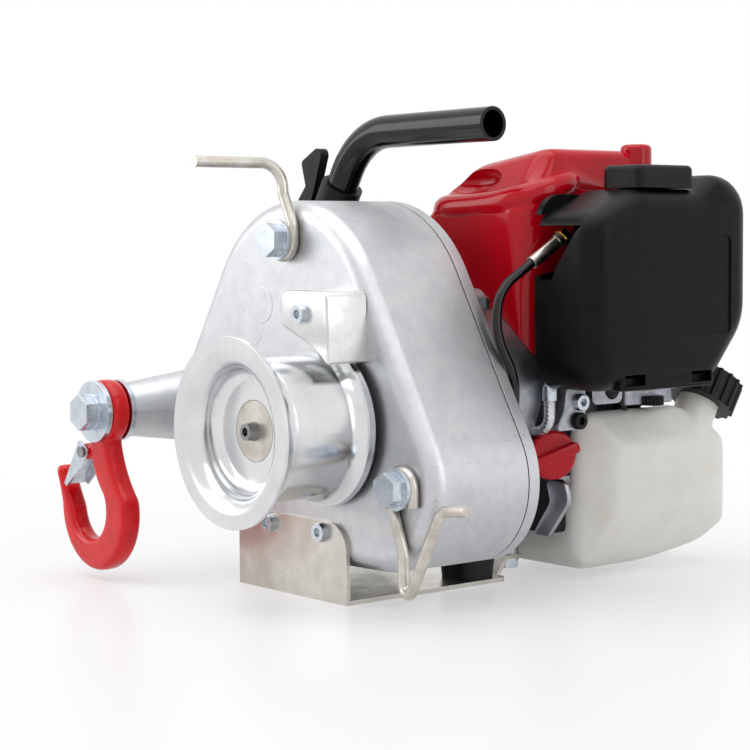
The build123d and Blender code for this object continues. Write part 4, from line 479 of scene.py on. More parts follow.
ASSEMBLIES = (
    SubAssembly("gear case", {
        Finishes.CAST_ALUMINIUM: ("gear_housing", "rear_cover"),
        Finishes.GASKET: ("case_gasket",),
        Finishes.ZINC_BOLT: ("case_bolts", "front_screws"),
    }),
    SubAssembly("gear train", {
        Finishes.GEAR_STEEL: (
            "gear_bearings", "drum_shaft", "drum_key", "drum_gear", "second_shaft", "second_gear", "first_shaft",
            "first_gear", "input_pinion", "clutch_drum",
        ),
        Finishes.RUBBER: ("drum_seal",),
    }),
    SubAssembly("capstan drum", {
        Finishes.TURNED_ALUMINIUM: ("drum",),
        Finishes.ZINC_ROD: ("drum_washer",),
        Finishes.GEAR_STEEL: ("drum_bolt",),
    }),
    SubAssembly("rope guides", {
        Finishes.ZINC_ROD: ("upper_rope_guide", "lower_rope_guide"),
        Finishes.ZINC_BOLT: ("guide_bolts",),
        Finishes.ZINC_BLOCK: ("guide_block",),
    }),
    SubAssembly("anchor hook", {
        Finishes.RED_ENAMEL: ("hook",),
        Finishes.ZINC_BOLT: ("hook_bolt", "hook_washers", "hook_latch"),
        Finishes.GEAR_STEEL: ("latch_pin",),
    }),
    SubAssembly("foot and handle", {
        Finishes.ZINC_SHEET: ("base_bracket",),
        Finishes.RUBBER: ("base_buffer",),
        Finishes.BLACK_ENAMEL: ("handle_tube",),
    }),
    SubAssembly("throttle control", {
        Finishes.BLACK_NYLON: ("throttle_bracket", "throttle_lever"),
        Finishes.CABLE_SHEATH: ("throttle_cable",),
        Finishes.ZINC_ROD: ("cable_adjuster",),
    }),
    SubAssembly("engine block", {
        Finishes.ENGINE_CASTING: ("crankcase", "cylinder", "carburettor", "flywheel", "engine_bracket"),
        Finishes.GEAR_STEEL: ("crankshaft", "clutch_shoes"),
        Finishes.ZINC_BOLT: ("spark_plug",),
        Finishes.MUFFLER_STEEL: ("muffler",),
        Finishes.BLACK_ENAMEL: ("muffler_guard",),
        Finishes.RUBBER: ("primer_bulb",),
        Finishes.BLACK_NYLON: ("choke_lever",),
        Finishes.RED_COVER: ("oil_cap",),
    }),
    SubAssembly("engine covers", {
        Finishes.RED_COVER: ("lower_shroud", "top_cover"),
        Finishes.BLACK_COVER: ("starter_case",),
        Finishes.BLACK_NYLON: ("starter_grip",),
    }),
    SubAssembly("air cleaner", {
        Finishes.BLACK_COVER: ("air_cleaner_base", "air_cleaner_cover"),
        Finishes.BLACK_NYLON: ("cover_latch",),
        Finishes.FOAM: ("air_filter",),
    }),
    SubAssembly("fuel tank", {
        Finishes.TANK_PLASTIC: ("fuel_tank",),
        Finishes.BLACK_NYLON: ("fuel_cap",),
        Finishes.RUBBER: ("tank_mount",),
    }),
)


def in_metres(point: Sequence[float]) -> Vector:
    """Point given in millimetres, in metres."""
    return Vector(point) * MM


def rounded(corners: Sequence[Flat], radii: Sequence[float], steps: int = 7) -> list[Flat]:
    """Round the corners of a closed outline.

    Args:
        corners: the outline's corners in order, in millimetres.
        radii: radius at each corner.
        steps: how many pieces each arc is drawn in.

    Returns:
        The outline's points, with an arc at each corner.
    """
    points = []
    for i, corner in enumerate(corners):
        here = Vector(corner)
        back = (Vector(corners[i - 1]) - here).normalized()
        ahead = (Vector(corners[(i + 1) % len(corners)]) - here).normalized()
        half = back.angle(ahead) / 2
        reach = radii[i] / math.tan(half)
        middle = here + (back + ahead).normalized() * radii[i] / math.sin(half)
        first, last = here + back * reach - middle, here + ahead * reach - middle
        points += [tuple(middle + first.slerp(last, k / steps).normalized() * radii[i]) for k in range(steps + 1)]
    return points


def rectangle(sides: Sides, corner: float, steps: int = 7) -> list[Flat]:
    """Rounded rectangle from its least and greatest first coordinate and second coordinate."""
    left, right, low, high = sides
    return rounded([(left, low), (right, low), (right, high), (left, high)], [corner] * 4, steps)


class Axis(Enum):
    """Axes of the frame, by their place in a point."""

    X = 0
    Y = 1
    Z = 2


def leave_edit_mode() -> None:
    """Go back to object mode with nothing selected."""
    if bpy.context.mode == "EDIT_MESH":
        bpy.ops.object.mode_set(mode="OBJECT")
    bpy.ops.object.select_all(action="DESELECT")


class Elements(Enum):
    """Kinds of mesh element that can be picked in edit mode."""

    FACES = "FACE"
    EDGES = "EDGE"


class Mix(Enum):
    """Ways to combine two solids."""

    ADD = "UNION"
    CUT = "DIFFERENCE"
    KEEP = "INTERSECT"


@dataclass
class Piece:
    """A piece modelled here: what it is made of, what carries it and the node that it stands for.

    Its methods take sizes and places in millimetres.

    Attributes:
        name: the piece's name.
        finish: how its surface looks.
        slot: the record's material slot.
        body: CAD body that carries it.
        node: CAD node that it stands for, or nothing.
        smooth_angle: edges flatter than this are shaded smooth, in degrees.
        item: the Blender object, once begun.
    """

    name: str
    finish: Finishes
    slot: str
    body: str = "chassis"
    node: str = ""
    smooth_angle: float = 38.0
    item: bpy.types.Object | None = None

    def begin(self, points: Sequence[Sequence[float]]) -> None:
        """Start in edit mode from a filled circle whose points are moved to an outline.

        Args:
            points: the outline.
        """
        leave_edit_mode()
        bpy.ops.mesh.primitive_circle_add(vertices=len(points), radius=0.01, fill_type="NGON")
        self.item = bpy.context.object
        self.item.name = self.item.data.name = self.name
        bpy.ops.object.mode_set(mode="EDIT")
        mesh = bmesh.from_edit_mesh(self.item.data)
        for vertex, point in zip(mesh.verts, points):
            vertex.co = in_metres(point)
        bmesh.update_edit_mesh(self.item.data)

    def begin_slab(self, outline: Sequence[Flat], axis: Axis, ends: Flat) -> None:
        """Start in edit mode from a flat outline across an axis, pulled out from one level along it to another."""
        self.begin([(*flat[: axis.value], ends[0], *flat[axis.value :]) for flat in outline])
        self.extrude((X_WAY, Y_WAY, Z_WAY)[axis.value] * (ends[1] - ends[0]))

    def begin_rod(
        self, centre: Sequence[float], way: Vector, radius: float, length: float, sides: int, edge: float = 0.0
    ) -> None:
        """Start in edit mode from a filled disc that is pulled out along its axis.

        Args:
            centre: middle of its near end.
            way: its axis, of length 1.
            radius: its radius.
            length: how far it is pulled.
            sides: how many corners it has.
            edge: how far both rims are rounded, if they are.
        """
        turn = way.to_track_quat("Z", "Y")
        spokes = [math.tau * k / sides for k in range(sides)]
        self.begin([turn @ Vector((math.cos(a), math.sin(a), 0.0)) * radius + Vector(centre) for a in spokes])
        self.extrude(way * length)
        base = Vector(centre).dot(way)
        for end in (base, base + length) if edge else ():
            self.soften(lambda p: abs(p.dot(way) - end) < NEAR, edge, segments=3)

    def begin_tube(self, route: Sequence[Point], radius: float) -> None:
        """Start from a round tube along a smooth line.

        Args:
            route: control points of the line.
            radius: the tube's radius.
        """
        curve = bpy.data.curves.new(self.name, "CURVE")
        curve.dimensions = "3D"
        curve.bevel_depth = radius * MM
        curve.bevel_resolution = 5
        curve.use_fill_caps = True
        spline = curve.splines.new("NURBS")
        spline.points.add(len(route) - 1)
        for knot, point in zip(spline.points, route):
            knot.co = (*in_metres(point), 1.0)
        spline.order_u = 3
        spline.use_endpoint_u = True
        spline.resolution_u = 10
        self.item = bpy.data.objects.new(self.name, curve)
        bpy.context.scene.collection.objects.link(self.item)
        self.focus()
        bpy.ops.object.convert(target="MESH")
        self.item = bpy.context.object
        self.item.name = self.item.data.name = self.name

    def focus(self) -> None:
        """Make this the one selected object."""
        leave_edit_mode()
        self.item.select_set(True)
        bpy.context.view_layer.objects.active = self.item

    def extrude(self, way: Vector) -> None:
        """Pull the selected face out by a way."""
        bpy.ops.mesh.extrude_region_move(TRANSFORM_OT_translate={"value": way * MM})

    def pick(self, kind: Elements, test: Callable[[Vector], bool]) -> None:
        """Select the elements whose points all pass a test, in edit mode.

        Args:
            kind: what to select.
            test: takes a point.
        """
        bpy.ops.mesh.select_mode(type=kind.value)
        bpy.ops.mesh.select_all(action="DESELECT")
        mesh = bmesh.from_edit_mesh(self.item.data)
        for element in mesh.faces if kind is Elements.FACES else mesh.edges:
            element.select_set(all(test(corner.co / MM) for corner in element.verts))
        bmesh.update_edit_mesh(self.item.data)

    def soften(self, test: Callable[[Vector], bool], width: float, segments: int) -> None:
        """Round the edges whose points all pass a test."""
        self.pick(Elements.EDGES, test)
        bpy.ops.mesh.bevel(offset=width * MM, offset_type="OFFSET", segments=segments, profile=0.5, affect="EDGES")

    def close(self) -> None:
        """Merge doubles, turn the faces outwards and leave edit mode with a plain mesh."""
        self.focus()
        bpy.ops.object.mode_set(mode="EDIT")
        bpy.ops.mesh.select_mode(type="VERT")
        bpy.ops.mesh.select_all(action="SELECT")
        bpy.ops.mesh.remove_doubles(threshold=0.00001)
        bpy.ops.mesh.normals_make_consistent(inside=False)
        bpy.ops.object.mode_set(mode="OBJECT")

    def apply(self, kind: str, settings: dict[str, object]) -> None:
        """Add a modifier and apply it.

        Args:
            kind: the modifier's type name.
            settings: its values by attribute name.
        """
        change = self.item.modifiers.new(kind.lower(), kind)
        for key, value in settings.items():
            setattr(change, key, value)
        self.focus()
        bpy.ops.object.modifier_apply(modifier=change.name)

    def melt(self, skin_mm: float, rounds: int) -> None:
        """Give the closed solid an even skin and let it relax, so that its edges turn round.

        Args:
            skin_mm: size of the skin's faces.
            rounds: how many times it relaxes.
        """
        self.close()
        self.apply("REMESH", {"mode": "VOXEL", "voxel_size": skin_mm * MM, "use_smooth_shade": True})
        self.apply("SMOOTH", {"factor": 0.5, "iterations": rounds})

    def tool(self) -> "Piece":
        """Scratch piece to combine with this one."""
        return Piece(self.name + "_tool", self.finish, self.slot)

    def sketch(self, outline: Sequence[Flat], axis: Axis, ends: Flat) -> "Piece":
        """Make a scratch piece from a flat outline across an axis.

        Args:
            outline: its points in the other two coordinates.
            axis: the axis that it is pulled out along.
            ends: levels along that axis that it starts and ends at.

        Returns:
            The scratch piece.
        """
        tool = self.tool()
        tool.begin_slab(outline, axis, ends)
        return tool

    def combine(self, tool: "Piece", mix: Mix) -> None:
        """Add, cut or keep a scratch piece, which goes away.

        Args:
            tool: the scratch piece.
            mix: what is done with it.
        """
        tool.close()
        self.close()
        self.apply("BOOLEAN", {"operation": mix.value, "solver": "EXACT", "object": tool.item})
        bpy.data.objects.remove(tool.item, do_unlink=True)

    def copy(self, name: str, finish: Finishes, slot: str, move: Matrix) -> "Piece":
        """Copy the piece with a mesh of its own and put the copy in its place.

        Args:
            name: the copy's name.
            finish: how its surface looks.
            slot: the record's material slot.
            move: from this piece's place to the copy's, in metres.

        Returns:
            The copy.
        """
        self.close()
        bpy.ops.object.duplicate(linked=False)
        twin = Piece(name, finish, slot, self.body, smooth_angle=self.smooth_angle, item=bpy.context.object)
        twin.item.name = twin.item.data.name = name
        twin.item.matrix_world = move
        bpy.ops.object.transform_apply(location=True, rotation=True, scale=True)
        return twin

    def dress(self) -> None:
        """Close the mesh, shade it, give it its finish and body and hide the CAD node that it stands for."""
        self.close()
        bpy.ops.object.shade_smooth_by_angle(angle=math.radians(self.smooth_angle))
        self.item.data.materials.clear()
        self.item.data.materials.append(self.finish.material())
        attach(self.item, self.body)
        if self.node:
            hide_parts(self.node)
        LOG.info("%s in %s on %s", self.name, self.finish.value.name, self.body)


@dataclass
class TopCover:
    """Red cover over the cylinder: tapered hull with a tilted crown, a rolled lip, a dish and a knob."""

    foot: Sides = (-42.0, 46.2, 100.0, 206.0)
    foot_z: float = 208.0
    waist: Sides = (-38.0, 46.2, 101.0, 205.0)
    waist_rise: float = 6.0
    waist_edge: float = 4.5
    corner: float = 15.0
    crown_centre: Point = (11.0, 161.0, 241.0)
    crown_size: Flat = (60.0, 78.0)
    crown_tilt: float = 8.0
    crown_edge: float = 7.0
    crown_inset: float = 1.2
    knob: Point = (38.0, 196.0, 248.0)
    knob_foot_z: float = 210.0
    knob_radius: float = 9.0
    knob_edge: float = 3.0
    dish_centre: Point = (-7.0, 110.5, 227.0)
    dish_size: Point = (23.0, 12.0, 9.0)
    roll: tuple[Point, ...] = (
        (-20.0, 156.0, 211.0), (-35.0, 142.0, 211.0), (-35.0, 106.0, 211.5), (4.0, 105.8, 212.0), (42.0, 105.8, 216.5),
        (42.0, 144.0, 227.0), (14.0, 162.0, 230.0),
    )
    roll_radius: float = 8.0

    def build(self) -> None:
        """Model the cover and dress it."""
        piece = Piece("engine_top_cover", Finishes.RED_COVER, "red_plastic", node="top_cover", smooth_angle=50.0)
        self.hull(piece)
        x, y, top = self.knob
        knob = piece.tool()
        knob.begin_rod((x, y, self.knob_foot_z), Z_WAY, self.knob_radius, top - self.knob_foot_z, sides=32)
        knob.soften(lambda p: p.z > top - NEAR, self.knob_edge, segments=4)
        piece.combine(knob, Mix.ADD)
        dish = piece.tool()
        leave_edit_mode()
        bpy.ops.mesh.primitive_uv_sphere_add(
            segments=32,
            ring_count=20,
            radius=1.0,
            location=in_metres(self.dish_centre),
            scale=in_metres(self.dish_size),
        )
        dish.item = bpy.context.object
        bpy.ops.object.transform_apply(location=True, rotation=True, scale=True)
        piece.combine(dish, Mix.CUT)
        roll = piece.tool()
        roll.begin_tube(self.roll, self.roll_radius)
        piece.combine(roll, Mix.ADD)
        piece.dress()

    def hull(self, piece: Piece) -> None:
        """Pull the hull up from its foot over the waist to the tilted crown and round its edges.

        Args:
            piece: the cover, not yet begun.
        """
        waist_z = self.foot_z + self.waist_rise
        x, y, z = self.crown_centre
        wide, long = self.crown_size
        crown = (x - wide / 2, x + wide / 2, y - long / 2, y + long / 2)
        piece.begin_slab(rectangle(self.foot, self.corner), Axis.Z, (self.foot_z, waist_z))
        self.fit(self.waist, self.foot, waist_z)
        piece.extrude(Z_WAY * (z - waist_z))
        self.fit(crown, self.waist, z)
        pivot = in_metres(self.crown_centre)
        bpy.ops.transform.rotate(value=math.radians(self.crown_tilt), orient_axis="Y", center_override=pivot)
        piece.soften(lambda p: p.z > waist_z + NEAR, self.crown_edge, segments=6)
        self.flatten(piece)
        piece.soften(lambda p: abs(p.z - waist_z) < NEAR, self.waist_edge, segments=5)

    def fit(self, outline: Sides, before: Sides, z: float) -> None:
        """Resize and move the selected face from one rectangle to another.

        Args:
            outline: left, right, front and rear of the new one.
            before: the same of the old one.
            z: height of the face.
        """
        was = Vector(((before[0] + before[1]) / 2, (before[2] + before[3]) / 2, z))
        now = Vector(((outline[0] + outline[1]) / 2, (outline[2] + outline[3]) / 2, z))
        across = (outline[1] - outline[0]) / (before[1] - before[0])
        along = (outline[3] - outline[2]) / (before[3] - before[2])
        bpy.ops.transform.resize(value=(across, along, 1.0), center_override=was * MM)
        bpy.ops.transform.translate(value=(now - was) * MM)

    def flatten(self, piece: Piece) -> None:
        """Inset the largest face that looks up, the crown's flat, so that its rounded edge doesn't shade it.

        Args:
            piece: the cover, in edit mode.
        """
        piece.pick(Elements.FACES, lambda p: False)
        mesh = bmesh.from_edit_mesh(piece.item.data)
        crown = max((face for face in mesh.faces if face.normal.z > 0.9), key=lambda face: face.calc_area())
        crown.select_set(True)
        bpy.ops.mesh.inset(thickness=self.crown_inset * MM)


@dataclass
class CleanerCover:
    """Black cover of the air cleaner: sloping front, hump behind the latch, soft edge and a pocketed lower band.

    Each recess has its front, rear, bottom and top, the radius of its corners and the place of its floor.
    """

    inner_x: float = 58.3
    outer_x: float = 102.0
    side: tuple[Flat, ...] = (
        (97.0, 112.0), (195.0, 112.0), (224.0, 146.0), (224.0, 229.0), (196.0, 229.0), (185.0, 220.8), (137.0, 220.8),
        (97.0, 205.0),
    )
    radii: tuple[float, ...] = (16.0, 22.0, 34.0, 22.0, 15.5, 10.0, 20.0, 16.0)
    edge: float = 14.0
    wall: float = 2.4
    hollow_ends: Flat = (57.3, 99.6)
    hollow_edge: float = 13.0
    band: Sides = (118.0, 192.0, 112.2, 123.5)
    band_ends: Flat = (70.3, 100.8)
    band_corner: float = 2.0
    band_edge: float = 1.0
    notch: tuple[Flat, ...] = ((57.0, 172.0), (69.0, 172.0), (74.0, 180.0), (90.0, 201.0), (57.0, 201.0))
    notch_ends: Flat = (92.0, 126.0)
    recesses: tuple[tuple[Sides, float, float], ...] = (
        ((147.0, 205.0, 141.0, 195.0), 3.0, 101.1),
        ((121.0, 137.0, 114.75, 120.75), 0.8, 95.8),
        ((174.0, 190.0, 114.75, 120.75), 0.8, 95.8),
    )
    spare: float = 5.0

    def build(self) -> None:
        """Model the cover and dress it."""
        piece = Piece(
            "air_cleaner_shell", Finishes.BLACK_COVER, "black_plastic", "cleaner_cover_body", "air_cleaner_cover"
        )
        outline = rounded(self.side, self.radii)
        piece.begin_slab(outline, Axis.X, (self.inner_x, self.outer_x))
        piece.soften(lambda p: p.x > self.outer_x - NEAR, self.edge, segments=8)
        band = piece.sketch(rectangle(self.band, self.band_corner, 4), Axis.X, self.band_ends)
        band.soften(lambda p: p.x > self.band_ends[1] - NEAR, self.band_edge, segments=2)
        piece.combine(band, Mix.ADD)
        middles = [sum(values) / len(outline) for values in zip(*outline)]
        shrinks = [1.0 - 2 * self.wall / (max(values) - min(values)) for values in zip(*outline)]
        hollow = [tuple(m + (v - m) * s for v, m, s in zip(flat, middles, shrinks)) for flat in outline]
        inside = piece.sketch(hollow, Axis.X, self.hollow_ends)
        inside.soften(lambda p: p.x > self.hollow_ends[1] - NEAR, self.hollow_edge, segments=6)
        piece.combine(inside, Mix.CUT)
        piece.combine(piece.sketch(self.notch, Axis.Y, self.notch_ends), Mix.CUT)
        for sides, corner, floor_x in self.recesses:
            recess = piece.sketch(rectangle(sides, corner, 4), Axis.X, (floor_x, self.outer_x + self.spare))
            piece.combine(recess, Mix.CUT)
        piece.dress()


@dataclass
class FuelTank:
    """Blow-moulded tank: rounded in three views, with a raised right shoulder and a tilted neck."""

    side: tuple[Flat, ...] = (
        (138.2, 97.0), (138.2, 5.0), (192.0, 5.0), (240.0, 15.0), (262.0, 32.0), (262.0, 68.0), (216.0, 97.0),
    )
    side_radii: tuple[float, ...] = (12.0, 16.0, 40.0, 30.0, 16.0, 14.0, 20.0)
    side_ends: Flat = (-60.0, 67.0)
    across: tuple[Flat, ...] = (
        (-55.0, 54.0), (-55.0, 5.0), (46.0, 5.0), (62.0, 40.0), (62.0, 78.0), (52.0, 97.0), (32.0, 97.0), (32.0, 54.0),
    )
    across_radii: tuple[float, ...] = (14.0, 20.0, 18.0, 18.0, 10.0, 7.0, 6.0, 6.0)
    across_ends: Flat = (133.2, 267.0)
    plan: tuple[Flat, ...] = ((-55.0, 138.2), (44.0, 138.2), (62.0, 158.0), (62.0, 262.0), (-55.0, 262.0))
    plan_radii: tuple[float, ...] = (16.0, 14.0, 14.0, 26.0, 26.0)
    plan_ends: Flat = (0.0, 110.0)
    saddle: tuple[Flat, ...] = ((-36.0, 129.2), (40.0, 129.2), (40.0, 212.0), (-36.0, 212.0))
    saddle_ends: Flat = (54.0, 134.0)
    fan_centre: Point = (2.0, 129.2, 112.0)
    fan_radius: float = 47.0
    fan_length: float = 82.8
    neck: Point = (49.0, 230.0, 84.0)
    neck_tilt: float = 32.0
    neck_radius: float = 12.5
    neck_length: float = 25.0
    neck_root: float = 8.0
    skin_mm: float = 1.5
    softness: int = 14

    def build(self) -> None:
        """Model the tank and dress it."""
        piece = Piece("fuel_tank_shell", Finishes.TANK_PLASTIC, "tank_plastic", node="fuel_tank", smooth_angle=80.0)
        piece.begin_slab(rounded(self.side, self.side_radii), Axis.X, self.side_ends)
        across = piece.sketch(rounded(self.across, self.across_radii), Axis.Y, self.across_ends)
        piece.combine(across, Mix.KEEP)
        plan = piece.sketch(rounded(self.plan, self.plan_radii), Axis.Z, self.plan_ends)
        piece.combine(plan, Mix.KEEP)
        piece.combine(piece.sketch(self.saddle, Axis.Z, self.saddle_ends), Mix.CUT)
        fan = piece.tool()
        fan.begin_rod(self.fan_centre, Y_WAY, self.fan_radius, self.fan_length, sides=48)
        piece.combine(fan, Mix.CUT)
        tilt = math.radians(self.neck_tilt)
        way = Vector((0.0, math.sin(tilt), math.cos(tilt)))
        neck = piece.tool()
        root = Vector(self.neck) - way * self.neck_root
        neck.begin_rod(root, way, self.neck_radius, self.neck_length + self.neck_root, sides=40)
        piece.combine(neck, Mix.ADD)
        piece.melt(self.skin_mm, self.softness)
        piece.dress()


@dataclass
class ForgedHook:
    """Hook with the round section of a drop forging, worked from a copy of its CAD shape."""

    skin_mm: float = 0.9
    softness: int = 30

    def build(self) -> None:
        """Copy the hook's mesh, round it and dress it."""
        piece = Piece("forged_hook", Finishes.RED_ENAMEL, "red_paint", "hook_body", "hook", 60.0)
        piece.item = bpy.data.objects.new(piece.name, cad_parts["hook"].data.copy())
        bpy.context.scene.collection.objects.link(piece.item)
        piece.melt(self.skin_mm, self.softness)
        piece.dress()


@dataclass
class Plate:
    """Plate cut to an outline, with the edge of its far face rounded.

    Attributes:
        name: the piece's name.
        finish: how its surface looks.
        slot: the record's material slot.
        node: CAD node that it stands for, or nothing.
        axis: the axis that it stands across.
        ends: levels of its near and far faces along that axis.
        outline: its corners in the other two coordinates.
        radii: radius at each corner.
        edge: how far the far face's edge is rounded.
        segments: how many strips that rounding has.
    """

    name: str
    finish: Finishes
    slot: str
    node: str
    axis: Axis
    ends: Flat
    outline: tuple[Flat, ...]
    radii: tuple[float, ...]
    edge: float
    segments: int = 3

    def build(self) -> None:
        """Model the plate and dress it."""
        piece = Piece(self.name, self.finish, self.slot, node=self.node)
        piece.begin_slab(rounded(self.outline, self.radii), self.axis, self.ends)
        piece.soften(lambda p: abs(p[self.axis.value] - self.ends[1]) < NEAR, self.edge, self.segments)
        piece.dress()


# Plated block above the drum, cut to clear the drum's flange.
GUIDE_BLOCK = Plate(
    "rope_guide_block", Finishes.ZINC_BLOCK, "zinc_steel", "guide_block", Axis.Y, ends=(0.0, -26.0),
    outline=((-9.0, 149.8), (-9.0, 168.0), (31.0, 168.0), (32.6, 128.4), (24.4, 135.0), (13.0, 141.4)),
    radii=(4.0, 7.0, 5.0, 1.6, 3.0, 4.0),
    edge=1.2,
)
# Plate that carries the carburettor, hollowed on one side to let the hose pass.
ENGINE_BRACKET = Plate(
    "engine_bracket_plate", Finishes.ENGINE_CASTING, "black_paint", "engine_bracket", Axis.X, ends=(36.0, 56.0),
    outline=((122.0, 112.0), (120.5, 100.0), (116.0, 92.0), (115.5, 88.0), (137.0, 88.0), (137.0, 112.0)),
    radii=(2.0, 14.0, 5.0, 1.5, 5.0, 2.5),
    edge=0.8,
)
# Bent plate in front of the tank's rubber mount.
TANK_STRAP = Plate(
    "tank_strap", Finishes.ENGINE_CASTING, "cast_aluminium", "", Axis.Y, ends=(128.7, 126.0),
    outline=((50.0, 58.0), (53.5, 48.0), (37.0, 26.5), (24.0, 26.5), (38.5, 46.5), (35.0, 58.0)),
    radii=(2.0, 8.0, 2.0, 2.0, 6.0, 2.0),
    edge=0.6,
    segments=2,
)


@dataclass
class CapScrews:
    """Small socket-head screws on the engine; one is modelled and the rest are copies of it."""

    radius: float = 4.8
    height: float = 3.8
    sunk: float = 0.3
    edge: float = 0.6
    key_radius: float = 2.5
    key_depth: float = 2.4
    key_spare: float = 1.0
    places: tuple[tuple[str, Point, Vector, Finishes, str], ...] = (
        ("bracket_screw_upper", (56.0, 131.5, 103.5), X_WAY, Finishes.ZINC_BOLT, "zinc_steel"),
        ("bracket_screw_lower", (56.0, 130.0, 93.2), X_WAY, Finishes.BLACK_NYLON, "black_plastic"),
        ("cover_screw_left", (-20.0, 205.6, 213.5), Y_WAY, Finishes.ZINC_BOLT, "zinc_steel"),
        ("cover_screw_right", (24.0, 205.6, 213.5), Y_WAY, Finishes.ZINC_BOLT, "zinc_steel"),
    )

    def build(self) -> None:
        """Model the first screw, copy it to the other places and dress them all."""
        name, place, way, finish, slot = self.places[0]
        foot = Vector(place)
        first = Piece(name, finish, slot, smooth_angle=30.0)
        first.begin_rod(foot - way * self.sunk, way, self.radius, self.height + self.sunk, sides=32)
        top = foot.dot(way) + self.height
        first.soften(lambda p: p.dot(way) > top - NEAR, self.edge, segments=3)
        key = first.tool()
        floor = foot + way * (self.height - self.key_depth)
        key.begin_rod(floor, way, self.key_radius, self.key_depth + self.key_spare, sides=6)
        first.combine(key, Mix.CUT)
        home = self.seat(place, way).inverted()
        copies = [
            first.copy(name, finish, slot, self.seat(place, way) @ home)
            for name, place, way, finish, slot in self.places[1:]
        ]
        for piece in (first, *copies):
            piece.dress()

    def seat(self, place: Point, way: Vector) -> Matrix:
        """Frame of a screw's seat, in metres, with its third axis along the screw."""
        return Matrix.Translation(in_metres(place)) @ way.to_track_quat("Z", "Y").to_matrix().to_4x4()


@dataclass
class Hoses:
    """Breather hose in wire braid with its ferrule, and the black fuel hose under the carburettor."""

    braid_top: Point = (53.0, 111.5, 116.0)
    braid_straight: float = 19.0
    braid_bend: float = 9.0
    braid_run: float = 3.0
    braid_radius: float = 3.2
    ferrule_foot: Point = (53.0, 111.5, 105.0)
    ferrule_radius: float = 4.2
    ferrule_length: float = 9.0
    ferrule_edge: float = 0.6
    fuel_route: tuple[Point, ...] = (
        (49.0, 174.0, 93.0), (49.0, 174.0, 101.0), (48.0, 172.0, 108.0), (46.0, 168.0, 113.0), (44.0, 164.0, 115.0),
    )
    fuel_radius: float = 2.6

    def build(self) -> None:
        """Model both hoses and the ferrule, and dress them."""
        hose = Piece("braided_hose", Finishes.BRAID, "zinc_steel")
        hose.begin_rod(self.braid_top, Z_WAY, self.braid_radius, -self.braid_straight, sides=24)
        x, y, z = self.braid_top
        low = z - self.braid_straight
        hose.pick(Elements.FACES, lambda p: p.z < low + NEAR)
        centre = in_metres((x - self.braid_bend, y, low))
        bpy.ops.mesh.spin(steps=10, angle=-math.pi / 2, center=centre, axis=Y_WAY)
        hose.extrude(X_WAY * -self.braid_run)
        hose.dress()
        ferrule = Piece("hose_ferrule", Finishes.ZINC_BOLT, "zinc_steel")
        size = {"radius": self.ferrule_radius, "length": self.ferrule_length, "edge": self.ferrule_edge}
        ferrule.begin_rod(self.ferrule_foot, Z_WAY, sides=28, **size)
        ferrule.dress()
        fuel = Piece("fuel_hose", Finishes.RUBBER, "rubber")
        fuel.begin_tube(self.fuel_route, self.fuel_radius)
        fuel.dress()


@dataclass
class SmallFittings:
    """Seal behind the oil cap, brass nut of the throttle cable and the round marks of the casting."""

    seal_centre: Point = (40.6, 122.5, 74.0)
    seal_way: Point = (0.9397, -0.342, 0.0)
    seal_radius: float = 15.2
    seal_thickness: float = 2.2
    seal_edge: float = 0.484
    nut_centre: Point = (57.1, 116.1, 193.7)
    nut_way: Point = (0.134, 0.822, 0.553)
    nut_radius: float = 5.6
    nut_thickness: float = 4.5
    nut_edge: float = 0.99
    marks: tuple[Point, ...] = ((-61.5, 0.6, 158.5), (-71.0, 0.7, 145.5))
    mark_radius: float = 10.3
    mark_thickness: float = 0.82
    mark_edge: float = 0.1804

    def build(self) -> None:
        """Model each fitting and dress it."""
        seal = Piece("oil_cap_seal", Finishes.RUBBER, "rubber")
        way = Vector(self.seal_way).normalized()
        seal.begin_rod(self.seal_centre, way, self.seal_radius, self.seal_thickness, sides=40, edge=self.seal_edge)
        seal.dress()
        nut = Piece("cable_nut", Finishes.BRASS, "zinc_steel", smooth_angle=25.0)
        way = Vector(self.nut_way).normalized()
        nut.begin_rod(self.nut_centre, way, self.nut_radius, self.nut_thickness, sides=6, edge=self.nut_edge)
        nut.dress()
        home, *others = (in_metres(mark) for mark in self.marks)
        first = Piece("casting_mark_0", Finishes.CAST_ALUMINIUM, "cast_aluminium", smooth_angle=12.0)
        size = {"radius": self.mark_radius, "length": self.mark_thickness, "edge": self.mark_edge}
        first.begin_rod(self.marks[0], -Y_WAY, sides=48, **size)
        copies = [
            first.copy(f"casting_mark_{i}", first.finish, first.slot, Matrix.Translation(place - home))
            for i, place in enumerate(others, 1)
        ]
        for mark in (first, *copies):
            mark.dress()


